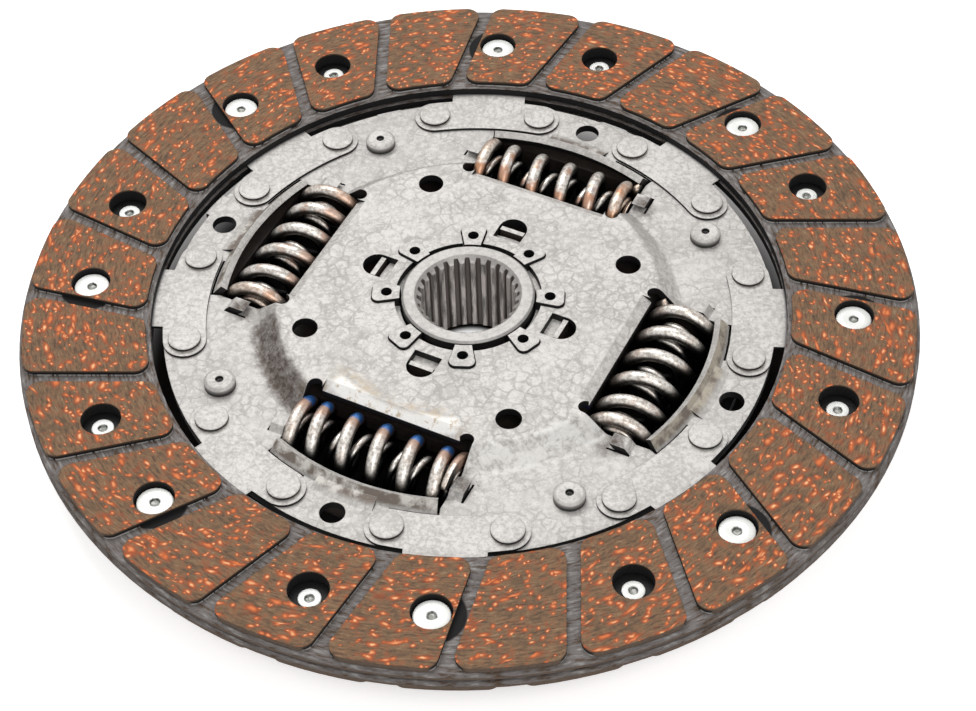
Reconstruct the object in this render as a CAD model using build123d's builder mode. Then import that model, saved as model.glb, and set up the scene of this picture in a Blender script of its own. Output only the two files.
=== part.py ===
"""Clutch disc with a sprung hub: two riveted friction facings on cushion segments,
two side plates with four spring windows, and a splined hub on its own flange."""

import os
from math import asin, cos, degrees, pi, radians, sin

from build123d import *

os.makedirs("parts", exist_ok=True)

# Driving dimensions, in millimetres and degrees. The origin is on the axis at the hub's
# lower end. Angles count from +X, and each one is that of the first piece of a ring.

# Facings
facing_outer_dia = 210.0
facing_inner_dia = 149.0
facing_thickness = 3.4
facing_gap = 1.1
facing_edge_break = 0.6
pad_count = 24
pad_height = 1.5
pad_inset_outer = 0.9
pad_inset_inner = 1.0
pad_corner_radius = 3.2
groove_width = 3.0
groove_angle = -1.9
groove_slant = -15.9

# Cushion segments
segment_count = 8
segment_thickness = 0.7
segment_edge_inset = 2.0
segment_fold_run = 3.5
segment_fold_middle = -1.0
segment_edge_gap_angle = 2.0
foot_angle = 39.74
foot_offset = 9.44
neck_width = 18.4
lobe_margin = 1.2
neck_fillet = 2.0
corner_tolerance = 0.01

# Rivets of the facings
facing_rivet_half_angle = 8.6
facing_rivet_shank_dia = 4.0
facing_rivet_head_dia = 8.3
facing_rivet_head_height = 1.0
facing_rivet_bore_dia = 2.0
facing_rivet_tail_dia = 5.2
facing_rivet_tail_height = 0.6
rivet_well_dia = 9.2
rivet_well_floor = 0.9

# Rivets of the segments' feet
plate_rivet_inset = 4.97
plate_rivet_half_angle = 11.4
plate_rivet_shank_dia = 5.0
plate_rivet_head_dia = 7.7
plate_rivet_head_height = 1.1
plate_rivet_tail_dia = 6.6
plate_rivet_tail_height = 0.8
rivet_clearance = 0.05
rivet_edge_break = 0.2

# Side plates
plate_thickness = 2.0
plate_bend_radius = 1.5
plate_edge_gap = 2.7
counter_rim_width = 4.3
plate_bore_gap = 1.65
dome_height = 4.75
dome_inset = 2.0
dome_slope_run = 4.6
floor_hole_dia = 5.8
floor_hole_inset = 5.06
dome_hole_dia = 6.0
dome_hole_inset = 6.09
dome_hole_angle = 12.3
rim_tab_angle = 148.2
rim_tab_half_angle = 2.9
rim_tab_reach = 1.0

# Spring windows
window_count = 4
window_angle = 62.2
window_inner_reach = 7.9
window_end_gap = 0.4
window_relief_dia = 3.4
window_flap_run = 2.4
window_flap_drop = 1.5
window_flap_edge = 1.4
lip_inset = 10.6
lip_lean = 2.2
lip_height = 2.6
lip_thickness = 1.7
lip_half_angle = 20.1
lip_joined_half_angle = 10.0
lip_slit_width = 0.5
lip_blend_width = 2.2
lip_blend_height = 1.3
lip_blend_half_angle = 7.0
hump_reach = 2.7
hump_end_run = 1.4
hump_width = 3.4
hump_height = 1.6
hump_slit_start = 3.0

# Damper springs
spring_lip_room = 14.2
spring_length = 41.0
spring_end_coils = 1.0
spring_seat_gap = 0.15
outer_spring_dia = 18.4
outer_spring_wire = 3.1
outer_spring_pitch = 7.65
outer_spring_turns = (-51.0, 264.0, 151.0, 226.0)
inner_spring_dia = 11.2
inner_spring_wire = 1.8
inner_spring_pitch = 5.6
wire_sides = 6
wire_steps = 12

# Stop pins
stop_pin_count = 4
stop_pin_angle = 20.0
stop_pin_body_dia = 7.6
stop_pin_neck_dia = 5.0
stop_pin_head_dia = 7.3
stop_pin_head_height = 2.3
stop_pin_dimple_dia = 1.8
stop_pin_dimple_depth = 0.8

# Hub and its flange
hub_twist_limit = 10.0
hub_below_facings = 18.8
hub_above_facings = 5.6
flange_below_facings = 4.6
hub_outer_dia = 31.3
hub_collar_dia = 36.0
hub_collar_height = 2.0
hub_edge_break = 0.5
spline_teeth = 28
spline_minor_dia = 22.1
spline_major_dia = 24.1
spline_land_share = 0.40
spline_root_share = 0.36
spline_mouth_dia = 25.2
flange_thickness = 4.4
flange_rim_width = 1.8
flange_window_margin = 0.5
flange_seat_clearance = 0.03
drive_tooth_count = 10
drive_tooth_width = 4.6
stop_clearance = 0.3

# Friction stack round the hub
lug_count = 8
lug_angle = 40.01
lug_length = 6.85
lug_inner_width = 3.7
lug_outer_width = 6.6
lug_corner_radius = 1.5
lug_hole_dia = 2.6
lug_hole_inset = 3.31
lug_proud = 0.7
lug_notch_gap = 0.25
lug_ring_gap = 0.45
lug_ring_rim_width = 0.3
lug_ring_thickness = 1.3
diaphragm_space = 1.0
diaphragm_thickness = 0.5
tab_plate_thickness = 1.2
tab_count = 4
tab_angle = 62.3
tab_reach = 1.35
tab_width = 6.0
tab_tip_sink = 0.4
tab_bend_radius = 0.8
tab_hole_width = 6.9
tab_hole_length = 7.3
stack_gap = 0.1
bush_rim_width = 1.5
bush_running_clearance = 0.06

# Heights and radii that follow from them
facing_mid = hub_below_facings
facing_outer_radius = facing_outer_dia / 2
facing_inner_radius = facing_inner_dia / 2
facing_rivet_radius = (facing_outer_radius + facing_inner_radius) / 2
facing_back = facing_gap / 2
segment_top = facing_mid + facing_back
segment_under = segment_top - segment_thickness
segment_fold = facing_gap - segment_thickness
segment_pitch = 360 / segment_count
retainer_floor = segment_under
retainer_under = retainer_floor - plate_thickness
retainer_dome = retainer_floor + dome_height
dome_under = retainer_dome - plate_thickness
flange_mid = facing_mid - flange_below_facings
flange_top = flange_mid + flange_thickness / 2
flange_under = flange_mid - flange_thickness / 2
counter_dome_inside = 2 * flange_mid - dome_under
counter_inner_face = 2 * flange_mid - retainer_under
counter_outer_face = 2 * flange_mid - retainer_floor
retainer_outer_radius = facing_inner_radius - plate_edge_gap
plate_rivet_radius = retainer_outer_radius - plate_rivet_inset
floor_hole_radius = retainer_outer_radius - floor_hole_inset
lip_base_radius = retainer_outer_radius - lip_inset
lip_top_radius = lip_base_radius - lip_lean
stop_pin_radius = lip_base_radius
counter_outer_radius = stop_pin_radius + counter_rim_width
spring_axis_radius = lip_base_radius - spring_lip_room
window_inner_edge = spring_axis_radius - window_inner_reach
dome_top_radius = spring_axis_radius - dome_inset
dome_foot_radius = dome_top_radius + dome_slope_run
hump_inner_radius = dome_foot_radius - hump_slit_start
hump_outer_radius = dome_foot_radius + hump_reach
dome_hole_radius = dome_top_radius - dome_hole_inset
hub_top = facing_mid + hub_above_facings
hub_outer_radius = hub_outer_dia / 2
plate_bore_radius = hub_outer_radius + plate_bore_gap
lug_outer_radius = hub_outer_radius + lug_length
lug_hole_radius = lug_outer_radius - lug_hole_inset
lug_ring_inner_radius = hub_outer_radius + lug_ring_gap
lug_ring_outer_radius = lug_outer_radius + lug_ring_rim_width
stack_inner_radius = lug_ring_inner_radius + stack_gap
stack_outer_radius = lug_outer_radius
tab_radius = stack_outer_radius + tab_reach
window_half_length = spring_length / 2 + window_end_gap


def at_each(count, first_angle):
    """Turns of a ring of equal pieces about the disc's axis."""
    return list(PolarLocations(0, count, first_angle))


def ring_sector(inner_radius, outer_radius, half_angle, middle_angle=0.0):
    """A face between two radii and two radial lines."""
    with BuildSketch() as sector:
        with BuildLine():
            outer_arc = CenterArc((0, 0), outer_radius, middle_angle - half_angle, 2 * half_angle)
            inner_arc = CenterArc((0, 0), inner_radius, middle_angle - half_angle, 2 * half_angle)
            Line(outer_arc @ 0, inner_arc @ 0)
            Line(outer_arc @ 1, inner_arc @ 1)
        make_face()
    return sector.sketch


def turned_piece(outline, half_angle=180.0):
    """A solid turned about Z from a closed outline of (radius, height) points. A part turn has
    its middle on +X."""
    with BuildPart() as turned:
        with BuildSketch(Plane.XZ):
            with BuildLine():
                Polyline(*outline, close=True)
            make_face()
        revolve(axis=Axis.Z, revolution_arc=2 * half_angle)
    return turned.part.rotate(Axis.Z, -half_angle)


# Facing: a base ring with raised pads, made with its back on the XY plane
def make_facing(well_angle, access_angle):
    """One facing ring, with rivet wells at one angle and access holes at the other."""
    pad_base = facing_thickness - pad_height
    groove_length = 2 * (facing_outer_radius - facing_inner_radius)
    with BuildPart() as facing:
        with BuildSketch():
            Circle(facing_outer_radius)
            Circle(facing_inner_radius, mode=Mode.SUBTRACT)
        extrude(amount=pad_base)
        rims = facing.edges().filter_by(GeomType.CIRCLE).sort_by(SortBy.RADIUS)
        chamfer(rims[-2:], facing_edge_break)
        with BuildSketch(Plane.XY.offset(pad_base)) as pads:
            Circle(facing_outer_radius - pad_inset_outer)
            Circle(facing_inner_radius + pad_inset_inner, mode=Mode.SUBTRACT)
            with PolarLocations(facing_rivet_radius, pad_count, groove_angle):
                Rectangle(groove_length, groove_width, rotation=groove_slant, mode=Mode.SUBTRACT)
            fillet(pads.vertices(), pad_corner_radius)
        extrude(amount=pad_height)
        with BuildSketch():
            with PolarLocations(facing_rivet_radius, segment_count, access_angle):
                Circle(rivet_well_dia / 2)
            with PolarLocations(facing_rivet_radius, segment_count, well_angle):
                Circle(facing_rivet_shank_dia / 2 + rivet_clearance)
        extrude(amount=facing_thickness, mode=Mode.SUBTRACT)
        with BuildSketch(Plane.XY.offset(rivet_well_floor)):
            with PolarLocations(facing_rivet_radius, segment_count, well_angle):
                Circle(rivet_well_dia / 2)
        extrude(amount=facing_thickness, mode=Mode.SUBTRACT)
    return facing.part


wing_angle = foot_angle - foot_offset
upper_rivet_angle = wing_angle + facing_rivet_half_angle
lower_rivet_angle = wing_angle - facing_rivet_half_angle
upper_back = Plane.XY.offset(facing_mid + facing_back)
# The lower side looks down, so angles on this plane run the other way
lower_back = Plane(origin=(0, 0, facing_mid - facing_back), x_dir=(1, 0, 0), z_dir=(0, 0, -1))

with BuildPart(upper_back) as facing_upper:
    add(make_facing(upper_rivet_angle, lower_rivet_angle))
facing_upper.part.label = "facing_upper"
export_step(facing_upper.part, "parts/facing_upper.step")

with BuildPart(lower_back) as facing_lower:
    add(make_facing(-lower_rivet_angle, -upper_rivet_angle))
facing_lower.part.label = "facing_lower"
export_step(facing_lower.part, "parts/facing_lower.step")


# Cushion segment: a flat foot and neck, and a wing folded up and down between the facings.
# It is made with the middle of its wing on +X.
wing_inner_radius = facing_inner_radius + segment_edge_inset
wing_outer_radius = facing_outer_radius - segment_edge_inset
wing_half_angle = (segment_pitch - segment_edge_gap_angle) / 2
wing_half_width = wing_outer_radius * sin(radians(wing_half_angle))
rivet_offset = facing_rivet_radius * sin(radians(facing_rivet_half_angle))
lobe_radius = plate_rivet_head_dia / 2 + lobe_margin
wing_outline = ring_sector(wing_inner_radius, wing_outer_radius, wing_half_angle)

# Each fold lies as far from a rivet as the fold on the rivet's other side
outer_fold = 2 * rivet_offset
folds = (-outer_fold - segment_fold_middle, segment_fold_middle, outer_fold - segment_fold_middle)
high, low = segment_top, segment_top - segment_fold
levels = (high, low, high, low)
sheet_top = [(-wing_half_width, levels[0])]
for fold, before, after in zip(folds, levels, levels[1:]):
    sheet_top.append((fold - segment_fold_run / 2, before))
    sheet_top.append((fold + segment_fold_run / 2, after))
sheet_top.append((wing_half_width, levels[-1]))
sheet_under = [(y, z - segment_thickness) for y, z in reversed(sheet_top)]
foot_line = CenterArc(
    (0, 0), plate_rivet_radius, foot_offset - plate_rivet_half_angle, 2 * plate_rivet_half_angle
)
neck_middle = (plate_rivet_radius + wing_inner_radius) / 2
neck_plane = Plane.XY.rotated((0, 0, foot_offset))

with BuildPart() as segment:
    with BuildSketch(Plane.YZ):
        with BuildLine():
            Polyline(*sheet_top, *sheet_under, close=True)
        make_face()
    extrude(amount=facing_outer_radius)
    with BuildSketch(Plane.XY):
        Circle(wing_inner_radius)
    extrude(amount=segment_top, mode=Mode.SUBTRACT)
    with BuildSketch(Plane.XY.offset(segment_under)):
        Circle(wing_inner_radius)
    extrude(amount=segment_thickness)
    with BuildSketch(Plane.XY) as segment_outline:
        add(wing_outline)
        SlotArc(foot_line, 2 * lobe_radius)
        with PolarLocations(neck_middle, 1, foot_offset):
            Rectangle(wing_inner_radius - plate_rivet_radius + 2 * neck_fillet, neck_width)
        across = [abs(neck_plane.to_local_coords(v).Y) for v in segment_outline.vertices()]
        corners = [
            v for v, distance in zip(segment_outline.vertices(), across)
            if abs(distance - neck_width / 2) < corner_tolerance
        ]
        fillet(corners, neck_fillet)
    extrude(amount=segment_top, mode=Mode.INTERSECT)
    with BuildSketch(Plane.XY):
        with PolarLocations(facing_rivet_radius, 2, -facing_rivet_half_angle, 4 * facing_rivet_half_angle):
            Circle(facing_rivet_shank_dia / 2 + rivet_clearance)
        with PolarLocations(
            plate_rivet_radius, 2, foot_offset - plate_rivet_half_angle, 4 * plate_rivet_half_angle
        ):
            Circle(plate_rivet_shank_dia / 2 + rivet_clearance)
    extrude(amount=segment_top, mode=Mode.SUBTRACT)

for number, place in enumerate(at_each(segment_count, wing_angle), 1):
    placed_segment = segment.part.moved(place)
    placed_segment.label = f"cushion_segment_{number}"
    export_step(placed_segment, f"parts/{placed_segment.label}.step")


# Rivets: each is turned about Z with its head's underside on the XY plane
facing_grip = rivet_well_floor + segment_thickness
facing_rivet = turned_piece([
    (facing_rivet_bore_dia / 2, facing_rivet_head_height),
    (facing_rivet_head_dia / 2 - rivet_edge_break, facing_rivet_head_height),
    (facing_rivet_head_dia / 2, facing_rivet_head_height - rivet_edge_break),
    (facing_rivet_head_dia / 2, 0),
    (facing_rivet_shank_dia / 2, 0),
    (facing_rivet_shank_dia / 2, -facing_grip),
    (facing_rivet_tail_dia / 2, -facing_grip),
    (facing_rivet_tail_dia / 2, -facing_grip - facing_rivet_tail_height),
    (facing_rivet_bore_dia / 2, -facing_grip - facing_rivet_tail_height),
])

with BuildPart(upper_back.offset(rivet_well_floor)) as facing_rivets_upper:
    with PolarLocations(facing_rivet_radius, segment_count, upper_rivet_angle):
        add(facing_rivet)
facing_rivets_upper.part.label = "facing_rivets_upper"
export_step(facing_rivets_upper.part, "parts/facing_rivets_upper.step")

with BuildPart(lower_back.offset(rivet_well_floor)) as facing_rivets_lower:
    with PolarLocations(facing_rivet_radius, segment_count, -lower_rivet_angle):
        add(facing_rivet)
facing_rivets_lower.part.label = "facing_rivets_lower"
export_step(facing_rivets_lower.part, "parts/facing_rivets_lower.step")

plate_grip = segment_thickness + plate_thickness
plate_rivet = turned_piece([
    (0, plate_rivet_head_height),
    (plate_rivet_head_dia / 2 - rivet_edge_break, plate_rivet_head_height),
    (plate_rivet_head_dia / 2, plate_rivet_head_height - rivet_edge_break),
    (plate_rivet_head_dia / 2, 0),
    (plate_rivet_shank_dia / 2, 0),
    (plate_rivet_shank_dia / 2, -plate_grip),
    (plate_rivet_tail_dia / 2, -plate_grip),
    (plate_rivet_tail_dia / 2, -plate_grip - plate_rivet_tail_height),
    (0, -plate_grip - plate_rivet_tail_height),
])
plate_rivet_angles = (foot_angle - plate_rivet_half_angle, foot_angle + plate_rivet_half_angle)

with BuildPart(Plane.XY.offset(segment_top)) as plate_rivets:
    for angle in plate_rivet_angles:
        with PolarLocations(plate_rivet_radius, segment_count, angle):
            add(plate_rivet)
plate_rivets.part.label = "plate_rivets"
export_step(plate_rivets.part, "parts/plate_rivets.step")


# Side plate with its dome up, made with the windows at window_angle; the lower plate is its
# mirror image about the hub flange
def make_side_plate(outer_radius):
    """A pressed side plate: dome, four spring windows with lips, and stop pin holes."""
    skin = [
        (plate_bore_radius, retainer_dome),
        (dome_top_radius, retainer_dome),
        (dome_foot_radius, retainer_floor),
        (outer_radius, retainer_floor),
    ]
    lip_lean = Vector(lip_base_radius - lip_top_radius, lip_height).normalized() * lip_thickness
    lip_outline = [
        (lip_base_radius, retainer_under),
        (lip_base_radius, retainer_floor),
        (lip_top_radius, retainer_floor + lip_height),
        (lip_top_radius - lip_lean.Y, retainer_floor + lip_height - lip_lean.X),
        (lip_base_radius - lip_lean.Y, retainer_floor - lip_lean.X),
        (lip_base_radius - lip_lean.Y, retainer_under),
    ]
    blend_top = lip_base_radius - lip_blend_height * (lip_base_radius - lip_top_radius) / lip_height
    blend_outline = [
        (lip_base_radius - lip_lean.Y, retainer_floor),
        (blend_top, retainer_floor + lip_blend_height),
        (lip_base_radius + lip_blend_width, retainer_floor),
    ]
    flap_base = window_inner_edge - window_flap_run
    flap_outline = [
        (flap_base, dome_under),
        (flap_base, retainer_dome),
        (window_inner_edge, retainer_dome - window_flap_drop),
        (window_inner_edge, retainer_dome - window_flap_drop - window_flap_edge),
    ]
    flap_half_length = window_half_length - window_relief_dia
    # A hump's inner side lies in the middle of the dome's sloping wall
    hump_root = dome_foot_radius - plate_thickness / 2
    hump_outline = [
        (hump_root, retainer_floor),
        (hump_root - dome_slope_run * hump_height / dome_height, retainer_floor + hump_height),
        (hump_outer_radius - hump_end_run, retainer_floor + hump_height),
        (hump_outer_radius, retainer_floor),
    ]
    lip_inside = lip_base_radius - lip_thickness / 2
    slit_half_angle = lip_half_angle + degrees(lip_slit_width / lip_base_radius)
    slit_middle = (slit_half_angle + lip_joined_half_angle) / 2
    slit_spread = (slit_half_angle - lip_joined_half_angle) / 2
    slit_reach = lip_base_radius + lip_slit_width

    with BuildPart() as flap:
        with BuildSketch(Plane.XZ):
            with BuildLine():
                Polyline(*flap_outline, close=True)
            make_face()
        extrude(amount=flap_half_length, both=True)
    with BuildPart() as humps:
        for side in (1, -1):
            near_end = side * window_half_length
            with BuildSketch(Plane.XZ.offset(-near_end)):
                with BuildLine():
                    Polyline(*hump_outline, close=True)
                make_face()
            extrude(amount=-side * hump_width)

    # Opening of one window, with the window's middle on +X
    with BuildSketch() as opening:
        Rectangle(lip_inside, 2 * window_half_length, align=(Align.MIN, Align.CENTER))
        Circle(lip_inside, mode=Mode.INTERSECT)
        Rectangle(2 * window_inner_edge, 2 * window_half_length, mode=Mode.SUBTRACT)
        with Locations((flap_base, 0)):
            Rectangle(window_flap_run, 2 * flap_half_length, align=(Align.MIN, Align.CENTER))
        with Locations(
            (window_inner_edge, window_half_length - window_relief_dia / 2),
            (window_inner_edge, window_relief_dia / 2 - window_half_length),
        ):
            Circle(window_relief_dia / 2)
        add(ring_sector(hump_outer_radius, slit_reach, slit_spread, slit_middle))
        add(ring_sector(hump_outer_radius, slit_reach, slit_spread, -slit_middle))
        with Locations(
            (hump_inner_radius, window_half_length + hump_width + lip_slit_width / 2),
            (hump_inner_radius, -window_half_length - hump_width - lip_slit_width / 2),
        ):
            Rectangle(
                hump_outer_radius - hump_inner_radius, lip_slit_width, align=(Align.MIN, Align.CENTER)
            )

    lip = turned_piece(lip_outline, lip_half_angle)
    lip_blend = turned_piece(blend_outline, lip_blend_half_angle)
    with BuildPart() as side_plate:
        with BuildSketch(Plane.XZ):
            with BuildLine():
                top_skin = FilletPolyline(*skin, radius=plate_bend_radius)
                offset(top_skin, plate_thickness, side=Side.RIGHT, closed=True)
            make_face()
        revolve(axis=Axis.Z)
        with BuildSketch():
            with PolarLocations(0, window_count, window_angle):
                add(opening)
            with PolarLocations(stop_pin_radius, stop_pin_count, stop_pin_angle):
                Circle(stop_pin_neck_dia / 2 + rivet_clearance)
        extrude(amount=hub_top, mode=Mode.SUBTRACT)
        with PolarLocations(0, window_count, window_angle):
            add(lip)
            add(lip_blend)
            add(flap.part)
            add(humps.part)
    return side_plate.part


# Outlines of one lug and its notch, and of the D-shaped hole, each on +X
with BuildSketch() as lug_outline:
    with BuildLine():
        Polyline(
            (hub_outer_radius, -lug_inner_width / 2),
            (lug_outer_radius, -lug_outer_width / 2),
            (lug_outer_radius, lug_outer_width / 2),
            (hub_outer_radius, lug_inner_width / 2),
            close=True,
        )
    make_face()
    fillet(lug_outline.vertices().sort_by(Axis.X)[-2:], lug_corner_radius)

with BuildSketch() as lug_notch:
    offset(lug_outline.sketch, lug_notch_gap, kind=Kind.INTERSECTION)

tab_hole_round = tab_hole_width / 2
with BuildSketch() as tab_hole:
    with Locations((tab_radius + tab_hole_length / 2 - tab_hole_round, 0)):
        Circle(tab_hole_round)
        Rectangle(tab_hole_length - tab_hole_round, tab_hole_width, align=(Align.MAX, Align.CENTER))

with BuildPart() as retainer_plate:
    add(make_side_plate(retainer_outer_radius))
    with BuildSketch(Plane.XY.offset(retainer_under)):
        rim_tab_radius = retainer_outer_radius + rim_tab_reach
        add(ring_sector(floor_hole_radius, rim_tab_radius, rim_tab_half_angle, rim_tab_angle))
    extrude(amount=plate_thickness)
    with BuildSketch():
        with PolarLocations(0, lug_count, lug_angle):
            add(lug_notch.sketch)
        with PolarLocations(0, tab_count, tab_angle):
            add(tab_hole.sketch)
        with PolarLocations(floor_hole_radius, window_count, window_angle):
            Circle(floor_hole_dia / 2)
        with PolarLocations(dome_hole_radius, window_count, dome_hole_angle):
            Circle(dome_hole_dia / 2)
        for angle in plate_rivet_angles:
            with PolarLocations(plate_rivet_radius, segment_count, angle):
                Circle(plate_rivet_shank_dia / 2 + rivet_clearance)
    extrude(amount=hub_top, mode=Mode.SUBTRACT)
retainer_plate.part.label = "retainer_plate"
export_step(retainer_plate.part, "parts/retainer_plate.step")

with BuildPart() as counter_plate:
    add(make_side_plate(counter_outer_radius).mirror(Plane.XY.offset(flange_mid)))
counter_plate.part.label = "counter_plate"
export_step(counter_plate.part, "parts/counter_plate.step")


# Stop pins: spacers between the side plates, with a riveted neck through each
pin_body_radius = stop_pin_body_dia / 2
pin_neck_radius = stop_pin_neck_dia / 2
pin_head_radius = stop_pin_head_dia / 2
pin_top = retainer_floor + stop_pin_head_height
pin_foot = counter_outer_face - stop_pin_head_height
stop_pin = turned_piece([
    (0, pin_foot),
    (pin_head_radius, pin_foot),
    (pin_head_radius, counter_outer_face),
    (pin_neck_radius, counter_outer_face),
    (pin_neck_radius, counter_inner_face),
    (pin_body_radius, counter_inner_face),
    (pin_body_radius, retainer_under),
    (pin_neck_radius, retainer_under),
    (pin_neck_radius, retainer_floor),
    (pin_head_radius, retainer_floor),
    (pin_head_radius, pin_top - rivet_edge_break),
    (pin_head_radius - rivet_edge_break, pin_top),
    (stop_pin_dimple_dia / 2, pin_top),
    (0, pin_top - stop_pin_dimple_depth),
])
with BuildPart() as stop_pins:
    with PolarLocations(stop_pin_radius, stop_pin_count, stop_pin_angle):
        add(stop_pin)
stop_pins.part.label = "stop_pins"
export_step(stop_pins.part, "parts/stop_pins.step")


# Hub: a sleeve with an internal spline, a collar under the flange and drive teeth in it
hub_collar_radius = hub_collar_dia / 2
with BuildSketch() as drive_teeth:
    with PolarLocations(0, drive_tooth_count):
        Rectangle(hub_collar_dia, drive_tooth_width, align=(Align.MIN, Align.CENTER))
    Circle(hub_collar_radius, mode=Mode.INTERSECT)
    Circle(hub_outer_radius - hub_edge_break, mode=Mode.SUBTRACT)

spline_minor_radius = spline_minor_dia / 2
spline_major_radius = spline_major_dia / 2
spline_pitch = pi * spline_minor_dia / spline_teeth
spline_depth = spline_major_radius - spline_minor_radius
spline_mouth_depth = (spline_mouth_dia - spline_minor_dia) / 2
space_mouth = spline_pitch * (1 - spline_land_share)
space_root = spline_pitch * spline_root_share
with BuildSketch() as spline_space:
    with BuildLine():
        Polyline(
            (spline_minor_radius - spline_depth, -space_mouth / 2),
            (spline_minor_radius, -space_mouth / 2),
            (spline_major_radius, -space_root / 2),
            (spline_major_radius, space_root / 2),
            (spline_minor_radius, space_mouth / 2),
            (spline_minor_radius - spline_depth, space_mouth / 2),
            close=True,
        )
    make_face()

with BuildPart() as hub:
    with BuildSketch():
        Circle(hub_outer_radius)
        Circle(spline_minor_radius, mode=Mode.SUBTRACT)
    extrude(amount=hub_top)
    chamfer(hub.edges().filter_by(GeomType.CIRCLE).group_by(SortBy.RADIUS)[-1], hub_edge_break)
    with BuildSketch(Plane.XY.offset(flange_under - hub_collar_height)):
        Circle(hub_collar_radius)
        Circle(hub_outer_radius - hub_edge_break, mode=Mode.SUBTRACT)
    extrude(amount=hub_collar_height)
    with BuildSketch(Plane.XY.offset(flange_under)):
        add(drive_teeth.sketch)
    extrude(amount=flange_thickness)
    with BuildSketch():
        with PolarLocations(0, spline_teeth):
            add(spline_space.sketch)
    extrude(amount=hub_top, mode=Mode.SUBTRACT)
    top_mouth = Plane.XY.offset(hub_top - spline_mouth_depth)
    lower_mouth = Plane(origin=(0, 0, spline_mouth_depth), z_dir=(0, 0, -1))
    with Locations(top_mouth, lower_mouth):
        Cone(
            spline_minor_radius,
            spline_mouth_dia / 2,
            spline_mouth_depth,
            align=(Align.CENTER, Align.CENTER, Align.MIN),
            mode=Mode.SUBTRACT,
        )
hub.part.label = "hub"
export_step(hub.part, "parts/hub.step")


# Hub flange: windows for the springs, and notches in its rim that stop on the pins
stop_swing = hub_twist_limit + degrees(asin((pin_body_radius + stop_clearance) / stop_pin_radius))
notch_floor_radius = stop_pin_radius - pin_body_radius - stop_clearance
flange_outer_radius = stop_pin_radius + flange_rim_width
flange_window_width = outer_spring_dia + 2 * flange_window_margin
flange_window_length = spring_length + 2 * spring_seat_gap
with BuildPart() as hub_flange:
    with BuildSketch(Plane.XY.offset(flange_under)):
        Circle(flange_outer_radius)
        Circle(hub_outer_radius + flange_seat_clearance, mode=Mode.SUBTRACT)
        offset(drive_teeth.sketch, flange_seat_clearance, kind=Kind.INTERSECTION, mode=Mode.SUBTRACT)
        with PolarLocations(spring_axis_radius, window_count, window_angle):
            Rectangle(flange_window_width, flange_window_length, mode=Mode.SUBTRACT)
        with PolarLocations(0, stop_pin_count, stop_pin_angle):
            add(ring_sector(notch_floor_radius, 2 * flange_outer_radius, stop_swing), mode=Mode.SUBTRACT)
    extrude(amount=flange_thickness)
hub_flange.part.label = "hub_flange"
export_step(hub_flange.part, "parts/hub_flange.step")


# Friction stack, from the dome down to the flange
lug_ring_under = dome_under - lug_ring_thickness
tab_plate_top = lug_ring_under - diaphragm_space
tab_plate_under = tab_plate_top - tab_plate_thickness
with BuildPart() as lug_ring:
    with BuildSketch(Plane.XY.offset(lug_ring_under)):
        Circle(lug_ring_outer_radius)
    extrude(amount=lug_ring_thickness)
    with BuildSketch(Plane.XY.offset(dome_under)):
        with PolarLocations(0, lug_count, lug_angle):
            add(lug_outline.sketch)
    extrude(amount=plate_thickness + lug_proud)
    with BuildSketch():
        Circle(lug_ring_inner_radius)
        with PolarLocations(lug_hole_radius, lug_count, lug_angle):
            Circle(lug_hole_dia / 2)
    extrude(amount=hub_top, mode=Mode.SUBTRACT)
lug_ring.part.label = "lug_ring"
export_step(lug_ring.part, "parts/lug_ring.step")

with BuildPart() as diaphragm_spring:
    add(turned_piece([
        (stack_inner_radius, lug_ring_under - diaphragm_thickness),
        (stack_inner_radius, lug_ring_under),
        (stack_outer_radius, tab_plate_top + diaphragm_thickness),
        (stack_outer_radius, tab_plate_top),
    ]))
diaphragm_spring.part.label = "diaphragm_spring"
export_step(diaphragm_spring.part, "parts/diaphragm_spring.step")

tab_tip = retainer_dome - tab_tip_sink
with BuildPart() as tab_plate:
    with BuildSketch(Plane.XY.offset(tab_plate_under)):
        Circle(stack_outer_radius)
        Circle(stack_inner_radius, mode=Mode.SUBTRACT)
    extrude(amount=tab_plate_thickness)
    for place in at_each(tab_count, tab_angle):
        tab_side = Plane(place) * Plane.XZ
        with BuildSketch(tab_side):
            with BuildLine():
                FilletPolyline(
                    (stack_outer_radius - tab_plate_thickness, tab_plate_top - tab_plate_thickness / 2),
                    (tab_radius, tab_plate_top - tab_plate_thickness / 2),
                    (tab_radius, tab_tip),
                    radius=tab_bend_radius,
                )
            trace(line_width=tab_plate_thickness)
        extrude(amount=tab_width / 2, both=True)
tab_plate.part.label = "tab_plate"
export_step(tab_plate.part, "parts/tab_plate.step")

with BuildPart() as friction_washer:
    with BuildSketch(Plane.XY.offset(flange_top + stack_gap)):
        Circle(stack_outer_radius)
        Circle(stack_inner_radius, mode=Mode.SUBTRACT)
    extrude(amount=tab_plate_under - flange_top - stack_gap)
friction_washer.part.label = "friction_washer"
export_step(friction_washer.part, "parts/friction_washer.step")

bush_bore_radius = hub_outer_radius + bush_running_clearance
bush_outer_radius = stack_outer_radius + bush_rim_width
collar_room = hub_collar_radius + stop_clearance
with BuildPart() as centring_bush:
    add(turned_piece([
        (bush_bore_radius, counter_dome_inside - plate_thickness),
        (plate_bore_radius - flange_seat_clearance, counter_dome_inside - plate_thickness),
        (plate_bore_radius - flange_seat_clearance, counter_dome_inside),
        (bush_outer_radius, counter_dome_inside),
        (bush_outer_radius, flange_under - stack_gap),
        (collar_room, flange_under - stack_gap),
        (collar_room, flange_under - hub_collar_height - stack_gap),
        (bush_bore_radius, flange_under - hub_collar_height - stack_gap),
    ]))
centring_bush.part.label = "centring_bush"
export_step(centring_bush.part, "parts/centring_bush.step")


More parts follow.
